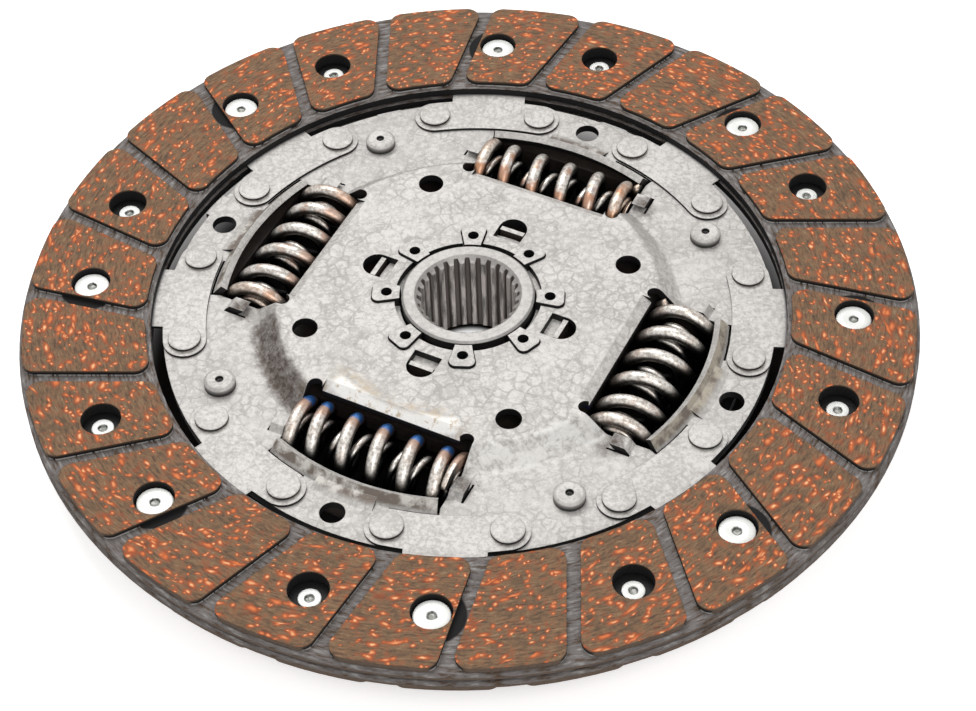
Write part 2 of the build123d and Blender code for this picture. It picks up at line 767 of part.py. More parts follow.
# Damper springs: coils about an axis along Y, beside the disc's axis
def make_coil(outer_dia, wire, pitch, turn_at_middle, hand):
    """A coil spring with closed ends. It is lofted through wire sections along its helix, and
    turn_at_middle is the wire's angle round the coil at half its length."""
    mean_radius = (outer_dia - wire) / 2
    closed_run = wire * spring_end_coils
    open_run = spring_length - wire - 2 * closed_run
    open_turns = open_run / pitch
    turns = open_turns + 2 * spring_end_coils
    steps = round(turns * wire_steps)
    section_planes = []
    for step in range(steps + 1):
        turn = turns * (step / steps - 0.5)
        beyond = max(abs(turn) - open_turns / 2, 0)
        along = min(abs(turn), open_turns / 2) * pitch + beyond * wire
        rise = pitch if beyond == 0 else wire
        angle = radians(turn_at_middle - hand * 360 * turn)
        outward = Vector(cos(angle), 0, sin(angle))
        centre = Vector(spring_axis_radius, along if turn > 0 else -along, flange_mid)
        forward = Vector(sin(angle), 0, -cos(angle)) * (2 * pi * mean_radius * hand)
        section_planes.append(
            Plane(origin=centre + outward * mean_radius, x_dir=outward, z_dir=forward + Vector(0, rise, 0))
        )
    with BuildPart() as coil:
        for section_plane in section_planes:
            with BuildSketch(section_plane):
                RegularPolygon(wire / 2, wire_sides)
        loft(ruled=True)
    return coil.part


for number, (place, turn) in enumerate(zip(at_each(window_count, window_angle), outer_spring_turns), 1):
    coils = {
        "outer": make_coil(outer_spring_dia, outer_spring_wire, outer_spring_pitch, turn, 1),
        "inner": make_coil(inner_spring_dia, inner_spring_wire, inner_spring_pitch, -turn, -1),
    }
    for side, coil in coils.items():
        spring = coil.moved(place)
        spring.label = f"damper_spring_{side}_{number}"
        export_step(spring, f"parts/{spring.label}.step")
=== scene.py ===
"""Looks of the clutch disc: its springs, rivets and pins as turned and coiled meshes, the finish
of every piece, and the stage that it is shown on."""

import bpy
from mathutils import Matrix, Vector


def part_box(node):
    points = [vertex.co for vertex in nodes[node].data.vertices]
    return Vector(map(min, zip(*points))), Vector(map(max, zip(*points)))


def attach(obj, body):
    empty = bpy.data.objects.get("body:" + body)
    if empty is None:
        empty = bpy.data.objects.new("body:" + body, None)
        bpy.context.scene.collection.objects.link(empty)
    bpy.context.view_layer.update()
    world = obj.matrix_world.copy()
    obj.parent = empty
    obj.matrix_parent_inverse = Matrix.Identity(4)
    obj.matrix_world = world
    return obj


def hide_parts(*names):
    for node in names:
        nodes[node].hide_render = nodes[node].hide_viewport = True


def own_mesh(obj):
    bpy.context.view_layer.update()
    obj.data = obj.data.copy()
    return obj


bl_info = {
    "name": "Clutch Disc Looks",
    "version": (1, 0, 0),
    "blender": (4, 5, 0),
    "location": "3D View > Sidebar > Clutch Disc",
    "description": "Makes the disc's springs, rivets and pins, and finishes every piece",
    "category": "Object",
}

from math import cos, pi, radians, sin, tau

import bmesh
import bpy
import numpy as np
from mathutils import Matrix

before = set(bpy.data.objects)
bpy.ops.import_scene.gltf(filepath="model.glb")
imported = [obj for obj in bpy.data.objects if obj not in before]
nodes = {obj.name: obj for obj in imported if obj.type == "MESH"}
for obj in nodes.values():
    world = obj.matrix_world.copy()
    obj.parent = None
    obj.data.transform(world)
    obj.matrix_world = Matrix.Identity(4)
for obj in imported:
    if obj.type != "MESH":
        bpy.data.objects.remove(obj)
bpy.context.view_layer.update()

SEGMENTS = [f"cushion_segment_{number}" for number in range(1, 9)]
SPRING_COUNT = 4
SENSOR_WIDTH = 36.0
LOW, HIGH = 0, 1
X, Y, Z = 0, 1, 2

# Heights that the frame gives, in metres
facing_top, facing_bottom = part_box("facing_upper")[HIGH].z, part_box("facing_lower")[LOW].z
facing_middle = (facing_top + facing_bottom) / 2
pad_rise = (facing_top - facing_bottom) / 2
plate_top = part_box("retainer_plate")[HIGH].z
counter_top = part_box("counter_plate")[HIGH].z
tab_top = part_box("tab_plate")[HIGH].z
hub_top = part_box("hub")[HIGH].z
flange_middle = (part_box("hub_flange")[HIGH].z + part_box("hub_flange")[LOW].z) / 2

# Layers of copper flecks, from long threads to round grains: the width, length and depth of a
# random cell in metres, its turn in radians, the fleck's reach in cells, and the share of cells
# that show one
FLECK_LAYERS = (
    ((0.0025, 0.0064, 1), 0.12, 0.140, 0.38),
    ((0.0028, 0.0052, 1), -0.28, 0.150, 0.36),
    ((0.0017, 0.0026, 1), 0.50, 0.150, 0.34),
    ((0.0021, 0.0026, 1), 0.90, 0.150, 0.34),
    ((0.0029, 0.0150, 1), 0.35, 0.085, 0.34),
)

# Middle angles of marks on the retainer plate, in degrees
# Middle of the far slope that gets painted shade
FAR_SLOPE = 90
STAINED_SLOPE = 203
FRONT_WINDOW = 242
# Middle of the front slope that gets a painted highlight
HIGHLIGHT_SLOPE = 290
RIGHT_WINDOW = 332

# Which end of each spring's window is smudged: -1 for the end that comes first
SMUDGED_SIDES = (-1, 1, 1, -1)
# How strongly each spring is browned
SPRING_WARMTHS = (1.0, 0.7, 0.35, 0.3)
PAINTED_SPRING = 3
# Distances from the flange's middle, in metres, within which a spring gets painted shade and
# beyond which it keeps its own colour
LIT_DEPTHS = {"outer": (0.0038, 0.0074), "inner": (0.0038, 0.0052)}


def size(name, description, default):
    """A length that the user can change, in metres."""
    return bpy.props.FloatProperty(
        name=name, description=description, default=default, unit="LENGTH", precision=5
    )


def turn(name, description, degrees_value):
    """An angle that the user can change."""
    return bpy.props.FloatProperty(
        name=name, description=description, default=radians(degrees_value), unit="ROTATION"
    )


def turns(name, description, degrees_values):
    """One angle for each spring, which the user can change."""
    return bpy.props.FloatVectorProperty(
        name=name,
        description=description,
        default=[radians(value) for value in degrees_values],
        size=SPRING_COUNT,
        unit="ROTATION",
    )


def place(name, description, default):
    """A point that the user can move, in metres."""
    return bpy.props.FloatVectorProperty(
        name=name, description=description, default=default, size=3, subtype="XYZ", unit="LENGTH",
        precision=5,
    )


def share(name, description, default):
    """A number from 0 to 1 that the user can change."""
    return bpy.props.FloatProperty(
        name=name, description=description, default=default, min=0, max=1
    )


def power(name, description, default):
    """A lamp's power, which the user can change."""
    return bpy.props.FloatProperty(
        name=name, description=description, default=default, unit="POWER"
    )


def colour(name, description, default):
    """A colour that the user can change, as linear red, green and blue."""
    return bpy.props.FloatVectorProperty(
        name=name, description=description, default=default, subtype="COLOR", size=3, min=0, max=1
    )


class ClutchDiscSprings(bpy.types.PropertyGroup):
    """Sizes of the damper springs."""

    axis_radius: size("Axis radius", "From the disc's axis to the springs' axes", 0.047)
    length: size("Length", "Length of a spring in its window", 0.041)
    outer_diameter: size("Outer diameter", "Outside diameter of the outer springs", 0.0184)
    outer_wire: size("Outer wire", "Wire diameter of the outer springs", 0.0031)
    outer_pitch: size("Outer pitch", "Distance from turn to turn of the outer springs", 0.00765)
    outer_turns: turns(
        "Outer turns", "Where each outer wire is at half its length", (-51, 264, 151, 226)
    )
    inner_diameter: size("Inner diameter", "Outside diameter of the inner springs", 0.0112)
    inner_wire: size("Inner wire", "Wire diameter of the inner springs", 0.0018)
    inner_pitch: size("Inner pitch", "Distance from turn to turn of the inner springs", 0.0050)
    inner_turns: turns(
        "Inner turns", "Where each inner wire is at half its length", (341, 145, 348, 82)
    )
    first_angle: turn("First angle", "Angle of the first window's middle", 62.2)


class ClutchDiscRivets(bpy.types.PropertyGroup):
    """Sizes of the rivets and stop pins."""

    facing_radius: size("Facing rivet radius", "From the disc's axis to the facing rivets", 0.08975)
    facing_upper_angle: turn("Upper rivet angle", "Angle of the first head-up rivet", 38.9)
    facing_lower_angle: turn("Lower rivet angle", "Angle of the first head-down rivet", 21.7)
    facing_head: size("Facing rivet head", "Diameter of a facing rivet's head", 0.0083)
    facing_head_height: size("Facing head height", "Thickness of a facing rivet's head", 0.0010)
    facing_tail: size("Facing rivet tail", "Diameter of a facing rivet's rolled end", 0.0052)
    facing_tail_height: size("Facing tail height", "Thickness of a rivet's rolled end", 0.0006)
    facing_shank: size("Facing rivet shank", "Diameter of a facing rivet's shank", 0.0040)
    facing_bore: size("Facing rivet bore", "Diameter of the hollow in a rivet's ends", 0.0020)
    facing_recess: size("Facing rivet recess", "Depth of the hollow in a rivet's ends", 0.0006)
    plate_radius: size("Plate rivet radius", "From the disc's axis to the plate's rivets", 0.06683)
    plate_angle: turn("Plate rivet angle", "Middle angle of the first pair of plate rivets", 39.74)
    plate_half_angle: turn("Plate rivet spread", "Half the angle between a pair of rivets", 11.4)
    plate_head: size("Plate rivet head", "Diameter of a plate rivet's head", 0.0077)
    plate_head_height: size("Plate head height", "Thickness of a plate rivet's head", 0.0011)
    plate_tail: size("Plate rivet tail", "Diameter of a plate rivet's tail", 0.0066)
    plate_tail_height: size("Plate tail height", "Thickness of a plate rivet's tail", 0.0008)
    plate_shank: size("Plate rivet shank", "Diameter of a plate rivet's shank", 0.0050)
    pin_radius: size("Stop pin radius", "From the disc's axis to the stop pins", 0.0612)
    pin_angle: turn("Stop pin angle", "Angle of the first stop pin", 20.0)
    pin_head: size("Stop pin head", "Diameter of a stop pin's riveted head", 0.0073)
    pin_head_height: size("Stop pin head height", "Height of a stop pin's riveted head", 0.0023)
    pin_dimple: size("Stop pin dimple", "Diameter of the dimple in a stop pin's head", 0.0019)
    pin_dimple_depth: size("Dimple depth", "Depth of the dimple in a stop pin's head", 0.0009)
    pin_neck: size("Stop pin neck", "Diameter of a stop pin in the side plates", 0.0050)
    pin_body: size("Stop pin body", "Diameter of a stop pin between the plates", 0.0076)
    plate_thickness: size("Plate thickness", "Thickness of the retainer plate", 0.0020)


class ClutchDiscColours(bpy.types.PropertyGroup):
    """Colours of the finishes, as linear values."""

    friction_brown: colour("Friction brown", "Main colour of the pads", (0.240, 0.142, 0.080))
    friction_dark: colour("Friction dark", "Dark hairs in the pads", (0.098, 0.065, 0.044))
    friction_olive: colour("Friction olive", "Pale hairs in the pads", (0.345, 0.255, 0.150))
    fleck_halo: colour("Fleck halo", "Stained rim of the copper flecks", (0.400, 0.085, 0.030))
    fleck_copper: colour("Fleck copper", "Copper flecks in the pads", (0.740, 0.190, 0.060))
    fleck_bright: colour("Fleck bright", "Bare metal of the flecks", (1.000, 0.640, 0.340))
    groove_grey: colour("Groove grey", "Moulded backing in the grooves", (0.190, 0.172, 0.165))
    # Pale ribs, and a painted highlight along the foot of the pad walls
    groove_pale_and_highlight: colour("Groove pale", "Pale ribs across the grooves", (0.520, 0.500, 0.480))
    rim_brown: colour("Rim brown", "Ground rims of the facings", (0.140, 0.104, 0.080))
    # Painted shade: near black put on walls, holes, undersides and deep parts where shade falls
    shade: colour("Shade", "Oily steel and dust deep inside the disc", (0.010, 0.009, 0.009))
    phosphate_light: colour("Phosphate light", "Light parts of the plates", (0.670, 0.645, 0.615))
    phosphate_dark: colour("Phosphate dark", "Clouded parts of the plates", (0.475, 0.456, 0.434))
    phosphate_crack: colour("Phosphate crack", "Cracks in the phosphate", (0.310, 0.295, 0.280))
    # Painted shade on the cushion segments' wings between the facings
    wing_shade: colour("Wing grey", "Oily wings of the cushion segments", (0.110, 0.110, 0.115))
    # Painted highlight on upturned edges, the front slope and the front window's flap
    painted_highlight: colour("Bright steel", "Rubbed and burnished steel", (0.900, 0.885, 0.850))
    # Dull grey of the hub's streaks and end faces, and painted shade on the dome's far slope
    dull_grey_and_shade: colour("Far grey", "Dull slope of the dome", (0.230, 0.222, 0.212))
    lip_brown: colour("Lip brown", "Browned lips of the windows", (0.200, 0.165, 0.140))
    lip_pale: colour("Lip pale", "Bare patches of the front window's lip", (0.700, 0.670, 0.620))
    lip_cream: colour("Lip cream", "Rubbed lips of the windows", (0.480, 0.430, 0.350))
    oil_brown: colour("Oil brown", "Baked-on oil beside the windows", (0.085, 0.062, 0.050))
    oil_tint: colour("Oil tint", "Thin oil over the phosphate", (0.520, 0.420, 0.300))
    # Painted shade in the valleys of the hub's splines
    spline_valley_shade: colour("Bore brown", "Valleys of the hub's splines", (0.150, 0.126, 0.116))
    tooth_grey: colour("Tooth grey", "Lands of the hub's splines", (0.800, 0.735, 0.700))
    spring_light: colour("Spring light", "Light speckle of the springs", (0.760, 0.730, 0.680))
    spring_dark: colour("Spring dark", "Dark speckle of the springs", (0.400, 0.365, 0.330))
    spring_brown: colour("Spring brown", "Warm tint on the springs", (0.430, 0.245, 0.165))
    spring_rust: colour("Spring rust", "Strong tint at a spring's end", (0.500, 0.230, 0.080))
    paint_blue: colour("Paint blue", "Marking paint on one spring", (0.070, 0.240, 0.660))
    paint_navy: colour("Paint navy", "Marking paint in a window's corner", (0.006, 0.010, 0.130))
    rivet_white: colour("Rivet white", "Plated heads of the facings' rivets", (0.930, 0.930, 0.900))
    rivet_core: colour("Rivet core", "Inside of the facings' rivets", (0.200, 0.215, 0.180))
    bush_brown: colour("Bush brown", "Moulded bush and washer", (0.030, 0.026, 0.022))
    floor_pale: colour("Floor pale", "Floor round the disc", (0.860, 0.860, 0.860))
    # Painted shadow on the floor under the disc
    floor_shade: colour("Floor shade", "Floor in the dark under the disc", (0.022, 0.021, 0.020))


class ClutchDiscStage(bpy.types.PropertyGroup):
    """The camera, the lamps and the floor."""

    camera_place: place("Camera place", "Where the camera stands", (0.00415, -0.3789, 0.4282))
    camera_elevation: turn("Camera elevation", "How steeply the camera looks down", 48.35)
    camera_roll: turn("Camera roll", "Turn of the camera about its line of sight", -2.01)
    lens: bpy.props.FloatProperty(
        name="Lens", description="Focal length of the camera", default=87.38, unit="CAMERA"
    )
    sky_strength: share("Sky strength", "Light that comes from all round", 0.35)
    back_lamp_place: place("Back lamp place", "Where the large lamp hangs", (-0.15, 0.45, 0.85))
    back_lamp_width: size("Back lamp width", "Width of the large lamp", 0.60)
    back_lamp_power: power("Back lamp power", "Power of the large lamp", 5.6)
    front_lamp_place: place("Front lamp place", "Where the small lamp hangs", (0.15, -0.65, 0.70))
    front_lamp_width: size("Front lamp width", "Width of the small lamp", 0.50)
    front_lamp_power: power("Front lamp power", "Power of the small lamp", 2.8)
    floor_glow: share("Floor glow", "How much brighter the floor is where it is seen", 0.65)
    shade_inner: size("Shade inner radius", "Where the floor under the disc is darkest", 0.075)
    shade_outer: size("Shade outer radius", "Where the floor under the disc is pale again", 0.100)
    bore_light: size("Bore light radius", "Reach of the light through the hub's bore", 0.012)


# Mesh making


def piece_from_grids(name, grids, merge_distance=1e-7):
    """One mesh object from grids of points, each rows by columns by three. Neighbouring rows and
    columns are joined by quads; rows or columns that meet themselves are merged, which closes
    seams and poles."""
    starts = np.cumsum([0] + [grid.shape[0] * grid.shape[1] for grid in grids])
    quads = []
    for start, grid in zip(starts, grids):
        rows, columns = grid.shape[:2]
        number = start + np.arange(rows * columns).reshape(rows, columns)
        corners = (number[:-1, :-1], number[:-1, 1:], number[1:, 1:], number[1:, :-1])
        quads.append(np.stack(corners, axis=-1).reshape(-1, 4))
    points = np.concatenate([grid.reshape(-1, 3) for grid in grids])
    quads = np.concatenate(quads)
    mesh = bpy.data.meshes.new(name)
    mesh.vertices.add(len(points))
    mesh.vertices.foreach_set("co", points.astype(np.float32).ravel())
    mesh.loops.add(quads.size)
    mesh.loops.foreach_set("vertex_index", quads.astype(np.int32).ravel())
    mesh.polygons.add(len(quads))
    mesh.polygons.foreach_set("loop_start", np.arange(0, quads.size, 4, dtype=np.int32))
    mesh.update(calc_edges=True)
    work = bmesh.new()
    work.from_mesh(mesh)
    bmesh.ops.remove_doubles(work, verts=work.verts, dist=merge_distance)
    bmesh.ops.recalc_face_normals(work, faces=work.faces)
    work.to_mesh(mesh)
    work.free()
    mesh.shade_smooth()
    piece = bpy.data.objects.new(name, mesh)
    bpy.context.scene.collection.objects.link(piece)
    return piece


def rounded_outline(corners, steps=5):
    """An outline through corners of (radius, height, rounding). Each corner with a rounding is
    an arc tangent to both its sides, and a corner with none stays sharp."""
    corners = np.array(corners, float)
    points = [corners[0, :2]]
    for before, here, after in zip(corners, corners[1:], corners[2:]):
        rounding = here[2]
        if rounding == 0:
            points.append(here[:2])
            continue
        back = (before[:2] - here[:2]) / np.linalg.norm(before[:2] - here[:2])
        ahead = (after[:2] - here[:2]) / np.linalg.norm(after[:2] - here[:2])
        half_turn = np.arccos(np.clip(back @ ahead, -1, 1)) / 2
        middle = (back + ahead) / np.linalg.norm(back + ahead)
        centre = here[:2] + middle * rounding / np.sin(half_turn)
        first = here[:2] + back * rounding / np.tan(half_turn) - centre
        last = here[:2] + ahead * rounding / np.tan(half_turn) - centre
        swing = pi - 2 * half_turn
        t = np.linspace(0, 1, steps + 1)[:, None]
        arc = (np.sin((1 - t) * swing) * first + np.sin(t * swing) * last) / np.sin(swing)
        points.extend(centre + arc)
    points.append(corners[-1, :2])
    return np.array(points)


def turned_grids(outline, places, sides=48):
    """Surfaces of revolution, one at each place. A point is the place plus (r cos a, r sin a, z),
    with (r, z) from the outline and a once round the circle."""
    around = np.linspace(0, tau, sides + 1)
    around[-1] = 0
    radius, height = outline[:, 0, None], outline[:, 1, None]
    x, y, z = radius * np.cos(around), radius * np.sin(around), height + 0 * around
    unit = np.stack([x, y, z], axis=-1)
    return [unit + centre for centre in places]


def ring_places(radius, first_angle, count):
    """Points evenly spaced on a circle about the disc's axis, at height 0."""
    angles = first_angle + tau * np.arange(count) / count
    return np.stack([radius * np.cos(angles), radius * np.sin(angles), 0 * angles], axis=-1)


def coil_grid(length, diameter, wire, pitch, middle_turn, hand, sides=20, steps=44):
    """A coil spring's wire about the Y axis, with closed and ground ends. The centre line is a
    helix (R cos a, y, R sin a), where y grows by the pitch each turn, and by the wire's diameter
    in the last turn at each end. A circle of the wire's radius is carried along it, square to
    it. What would stand past half the length is flattened onto the end plane, which grinds the
    ends, and both ends of the tube shrink to a point."""
    mean_radius = (diameter - wire) / 2
    half_open = (length - 2 * wire) / (2 * pitch)
    half_turns = half_open + 1
    t = np.linspace(-half_turns, half_turns, round(2 * half_turns * steps) + 1)
    closed = np.clip(np.abs(t) - half_open, 0, None)
    y = np.sign(t) * (np.minimum(np.abs(t), half_open) * pitch + closed * wire)
    angle = middle_turn - hand * tau * t
    outward = np.stack([np.cos(angle), 0 * t, np.sin(angle)], axis=-1)
    line = mean_radius * outward
    line[:, Y] = y
    ahead = np.gradient(line, axis=0)
    ahead /= np.linalg.norm(ahead, axis=1, keepdims=True)
    across = np.cross(ahead, outward)
    around = np.linspace(0, tau, sides + 1)
    around[-1] = 0
    out_part = np.cos(around)[None, :, None] * outward[:, None]
    across_part = np.sin(around)[None, :, None] * across[:, None]
    ring = out_part + across_part
    tube = line[:, None] + wire / 2 * ring
    first_cap = np.repeat(tube[:1].mean(axis=1, keepdims=True), sides + 1, axis=1)
    last_cap = np.repeat(tube[-1:].mean(axis=1, keepdims=True), sides + 1, axis=1)
    coil = np.concatenate([first_cap, tube, last_cap])
    coil[..., Y] = np.clip(coil[..., Y], -length / 2, length / 2)
    return coil


def placed(grid, angle, offset):
    """A grid made beside the Z axis on +X, moved out by an offset and turned about Z."""
    moved = grid + offset
    turned = moved.copy()
    turned[..., X] = moved[..., X] * np.cos(angle) - moved[..., Y] * np.sin(angle)
    turned[..., Y] = moved[..., X] * np.sin(angle) + moved[..., Y] * np.cos(angle)
    return turned


# Material making


class Finish:
    """A material under construction: a principled shader and short ways to feed it."""

    def __init__(self, name, constants):
        self.material = bpy.data.materials.new(name)
        self.material.use_nodes = True
        self.tree = self.material.node_tree
        self.tree.nodes.clear()
        self.shader = self.tree.nodes.new("ShaderNodeBsdfPrincipled")
        output = self.tree.nodes.new("ShaderNodeOutputMaterial")
        self.tree.links.new(self.shader.outputs[0], output.inputs["Surface"])
        for socket, value in constants.items():
            self.shader.inputs[socket].default_value = value
        self.place = self.node("ShaderNodeTexCoord", {}).outputs["Object"]
        self.normal = self.node("ShaderNodeNewGeometry", {}).outputs["Normal"]
        flat = self.vector("MULTIPLY", self.place, (1, 1, 0))
        self.outward = self.vector("NORMALIZE", flat)
        from_axis = self.node("ShaderNodeVectorMath", {0: flat}, operation="LENGTH")
        self.radius = from_axis.outputs["Value"]
        split = self.node("ShaderNodeSeparateXYZ", {0: self.place}).outputs
        self.angle = self.math("ARCTAN2", split[Y], split[X])
        self.height = split[Z]
        self.faces_up = self.node("ShaderNodeSeparateXYZ", {0: self.normal}).outputs[Z]

    def node(self, kind, inputs, **settings):
        """Add a node, set its settings, and feed its inputs with values or other sockets."""
        made = self.tree.nodes.new(kind)
        for name, value in settings.items():
            setattr(made, name, value)
        for name, value in inputs.items():
            if isinstance(value, bpy.types.NodeSocket):
                self.tree.links.new(value, made.inputs[name])
            else:
                made.inputs[name].default_value = value
        return made

    def feed(self, socket, value):
        """Link a socket to one of the shader's inputs."""
        self.tree.links.new(value, self.shader.inputs[socket])

    def math(self, operation, first, second=0.0, third=0.0):
        """One arithmetic step."""
        inputs = {0: first, 1: second, 2: third}
        return self.node("ShaderNodeMath", inputs, operation=operation).outputs[0]

    def vector(self, operation, first, second=(0, 0, 0)):
        """One step of vector arithmetic."""
        inputs = {0: first, 1: second}
        return self.node("ShaderNodeVectorMath", inputs, operation=operation).outputs[0]

    def dot(self, first, second):
        """How far one vector goes along another."""
        inputs = {0: first, 1: second}
        return self.node("ShaderNodeVectorMath", inputs, operation="DOT_PRODUCT").outputs["Value"]

    def chain(self, operation, values):
        """One operation carried through several values."""
        result = values[0]
        for value in values[1:]:
            result = self.math(operation, result, value)
        return result

    def both(self, *masks):
        """The product of masks: 1 only where all are."""
        return self.chain("MULTIPLY", masks)

    def either(self, *masks):
        """The largest of masks: 1 where any is."""
        return self.chain("MAXIMUM", masks)

    def without(self, mask):
        """1 where a mask is 0."""
        return self.math("SUBTRACT", 1.0, mask)

    def blend(self, *shares):
        """A sum of values, each given with its share."""
        return self.chain("ADD", [self.math("MULTIPLY", value, part) for value, part in shares])

    def between(self, value, low, high):
        """A smooth step from 0 at low to 1 at high, or down where low is the larger."""
        inputs = {"Value": value, "From Min": low, "From Max": high}
        return self.node("ShaderNodeMapRange", inputs, interpolation_type="SMOOTHSTEP").outputs[0]

    def spread(self, value, low, high):
        """A value from 0 to 1 spread from low to high."""
        inputs = {"Value": value, "To Min": low, "To Max": high}
        return self.node("ShaderNodeMapRange", inputs).outputs[0]

    def mix(self, factor, first, second):
        """A blend of two colours."""
        first = (*first, 1) if not isinstance(first, bpy.types.NodeSocket) else first
        second = (*second, 1) if not isinstance(second, bpy.types.NodeSocket) else second
        inputs = {0: factor, 6: first, 7: second}
        return self.node("ShaderNodeMix", inputs, data_type="RGBA").outputs[2]

    def scaled(self, lengths, turned=0.0, at=None):
        """The place, or another vector, turned about Z and divided by a length on each axis."""
        inputs = {"Vector": at or self.place, "Scale": lengths, "Rotation": (0, 0, turned)}
        return self.node("ShaderNodeMapping", inputs, vector_type="TEXTURE").outputs[0]

    def noise(self, grain, detail=2.0, roughness=0.5, at=None):
        """Cloudy noise whose features are about one grain across, in metres."""
        at = at or self.place
        inputs = {"Vector": at, "Scale": 1 / grain, "Detail": detail, "Roughness": roughness}
        return self.node("ShaderNodeTexNoise", inputs).outputs[0]

    def shifted(self, amount, grain, at=None):
        """The place, or another vector, pushed about by noise."""
        at = at or self.place
        inputs = {"Vector": at, "Scale": 1 / grain, "Detail": 2.0}
        push = self.node("ShaderNodeTexNoise", inputs).outputs["Color"]
        centred = self.vector("SUBTRACT", push, (0.5, 0.5, 0.5))
        pushed = self.vector("MULTIPLY", centred, (amount, amount, amount))
        return self.vector("ADD", at, pushed)

    def unrolled(self, radius):
        """The place unrolled from about the disc's axis: distance from it, and run round it."""
        run = self.math("MULTIPLY", self.angle, radius)
        return self.node("ShaderNodeCombineXYZ", {0: self.radius, 1: run, 2: 0.0}).outputs[0]

    def ring(self, inner, outer, soft):
        """1 between two radii about the disc's axis, falling to 0 over a soft edge."""
        outside = self.between(self.radius, inner - soft, inner)
        inside = self.between(self.radius, outer + soft, outer)
        return self.both(outside, inside)

    def sector(self, middle, full, none):
        """1 within an angle of the middle one, falling to 0 at a larger angle, all in degrees."""
        direction = (cos(radians(middle)), sin(radians(middle)), 0)
        towards = self.dot(self.outward, direction)
        return self.between(towards, cos(radians(none)), cos(radians(full)))

    def near(self, point, reach):
        """1 at a point, falling smoothly to 0 at a distance of reach."""
        inputs = {0: self.place, 1: point}
        distance = self.node("ShaderNodeVectorMath", inputs, operation="DISTANCE")
        return self.between(distance.outputs["Value"], reach, 0.0)

    def beside(self, radius, first_angle, count):
        """Distance from the nearest of some axes that stand evenly on a circle. The angle from
        that axis is wrapped to half a step either way, and the third side of the triangle
        follows from it by the law of cosines."""
        half_step = pi / count
        inputs = {0: self.angle, 1: first_angle + half_step, 2: first_angle - half_step}
        wrapped = self.node("ShaderNodeMath", inputs, operation="WRAP").outputs[0]
        cosine = self.math("COSINE", self.math("SUBTRACT", wrapped, first_angle))
        square = self.math("MULTIPLY_ADD", self.radius, self.radius, radius * radius)
        product = self.both(self.radius, cosine, 2 * radius)
        return self.math("SQRT", self.math("SUBTRACT", square, product))

    def beside_facing_rivets(self, sizes):
        """Distance from the nearest rivet of either facing."""
        return self.chain("MINIMUM", [
            self.beside(sizes.facing_radius, angle, len(SEGMENTS))
            for angle in (sizes.facing_upper_angle, sizes.facing_lower_angle)
        ])

    def levelness(self, none, full):
        """How level a face lies, looking up or down: 0 where the upright part of its normal is
        the first number and 1 where it is the second."""
        return self.between(self.math("ABSOLUTE", self.faces_up), none, full)

    def wall(self):
        """1 on upright faces, and 0 on level ones."""
        return self.levelness(0.6, 0.3)

    def edges(self, radius):
        """Normals rounded over edges, and a mask of where they turn."""
        rounded = self.node("ShaderNodeBevel", {"Radius": radius}, samples=3).outputs[0]
        return rounded, self.between(self.dot(rounded, self.normal), 0.995, 0.85)

    def bump(self, height, distance, normal=None):
        """Relief of a given depth, in metres, on the shader's normal."""
        inputs = {"Height": height, "Distance": distance, "Strength": 1.0}
        if normal is not None:
            inputs["Normal"] = normal
        self.feed("Normal", self.node("ShaderNodeBump", inputs).outputs[0])


def dress(piece_or_node, finish):
    """Give a piece or a CAD node one finish."""
    data = piece_or_node.data
    data.materials.clear()
    data.materials.append(finish.material)


def paint_flecks(finish, under, look, at, cell, turned, reach, presence):
    """Metal flecks over a colour. Space is cut into random cells, each cell holds one ellipse
    with the cell's proportions, and a share of the cells show theirs: a stained halo, a copper
    body and a bright core."""
    cells = finish.node(
        "ShaderNodeTexVoronoi",
        {"Vector": finish.scaled(cell, turned, at), "Scale": 1.0},
        voronoi_dimensions="2D",
    ).outputs
    chance = finish.node("ShaderNodeSeparateColor", {0: cells["Color"]}).outputs
    shown = finish.math("LESS_THAN", chance[0], presence)
    own_reach = finish.spread(chance[1], 0.6 * reach, 1.4 * reach)
    part = finish.math("DIVIDE", cells["Distance"], own_reach)
    halo = finish.both(shown, finish.between(part, 2.5, 0.6), 0.75)
    body = finish.both(shown, finish.between(part, 1.40, 0.35))
    core = finish.both(shown, finish.between(part, 0.85, 0.10), chance[2])
    colour = finish.mix(halo, under, look.fleck_halo)
    colour = finish.mix(body, colour, look.fleck_copper)
    return finish.mix(core, colour, look.fleck_bright)


def paint_pads(finish, look, bent, hairs):
    """Colour of the pads: brown with dark and olive hairs, clouds of soot and of copper stain,
    and layers of copper flecks with ragged edges."""
    clouds = finish.noise(0.0030, 5.0, 0.75)
    sooty = finish.both(finish.between(clouds, 0.52, 0.34), 0.5)
    stained = finish.both(finish.between(clouds, 0.50, 0.70), 0.55)
    colour = finish.mix(finish.between(hairs, 0.34, 0.54), look.friction_dark, look.friction_brown)
    colour = finish.mix(finish.between(hairs, 0.56, 0.72), colour, look.friction_olive)
    colour = finish.mix(sooty, colour, look.friction_dark)
    colour = finish.mix(stained, colour, look.fleck_halo)
    ragged = finish.shifted(0.0008, 0.0013, bent)
    for cell, turned, reach, presence in FLECK_LAYERS:
        colour = paint_flecks(finish, colour, look, ragged, cell, turned, reach, presence)
    return colour


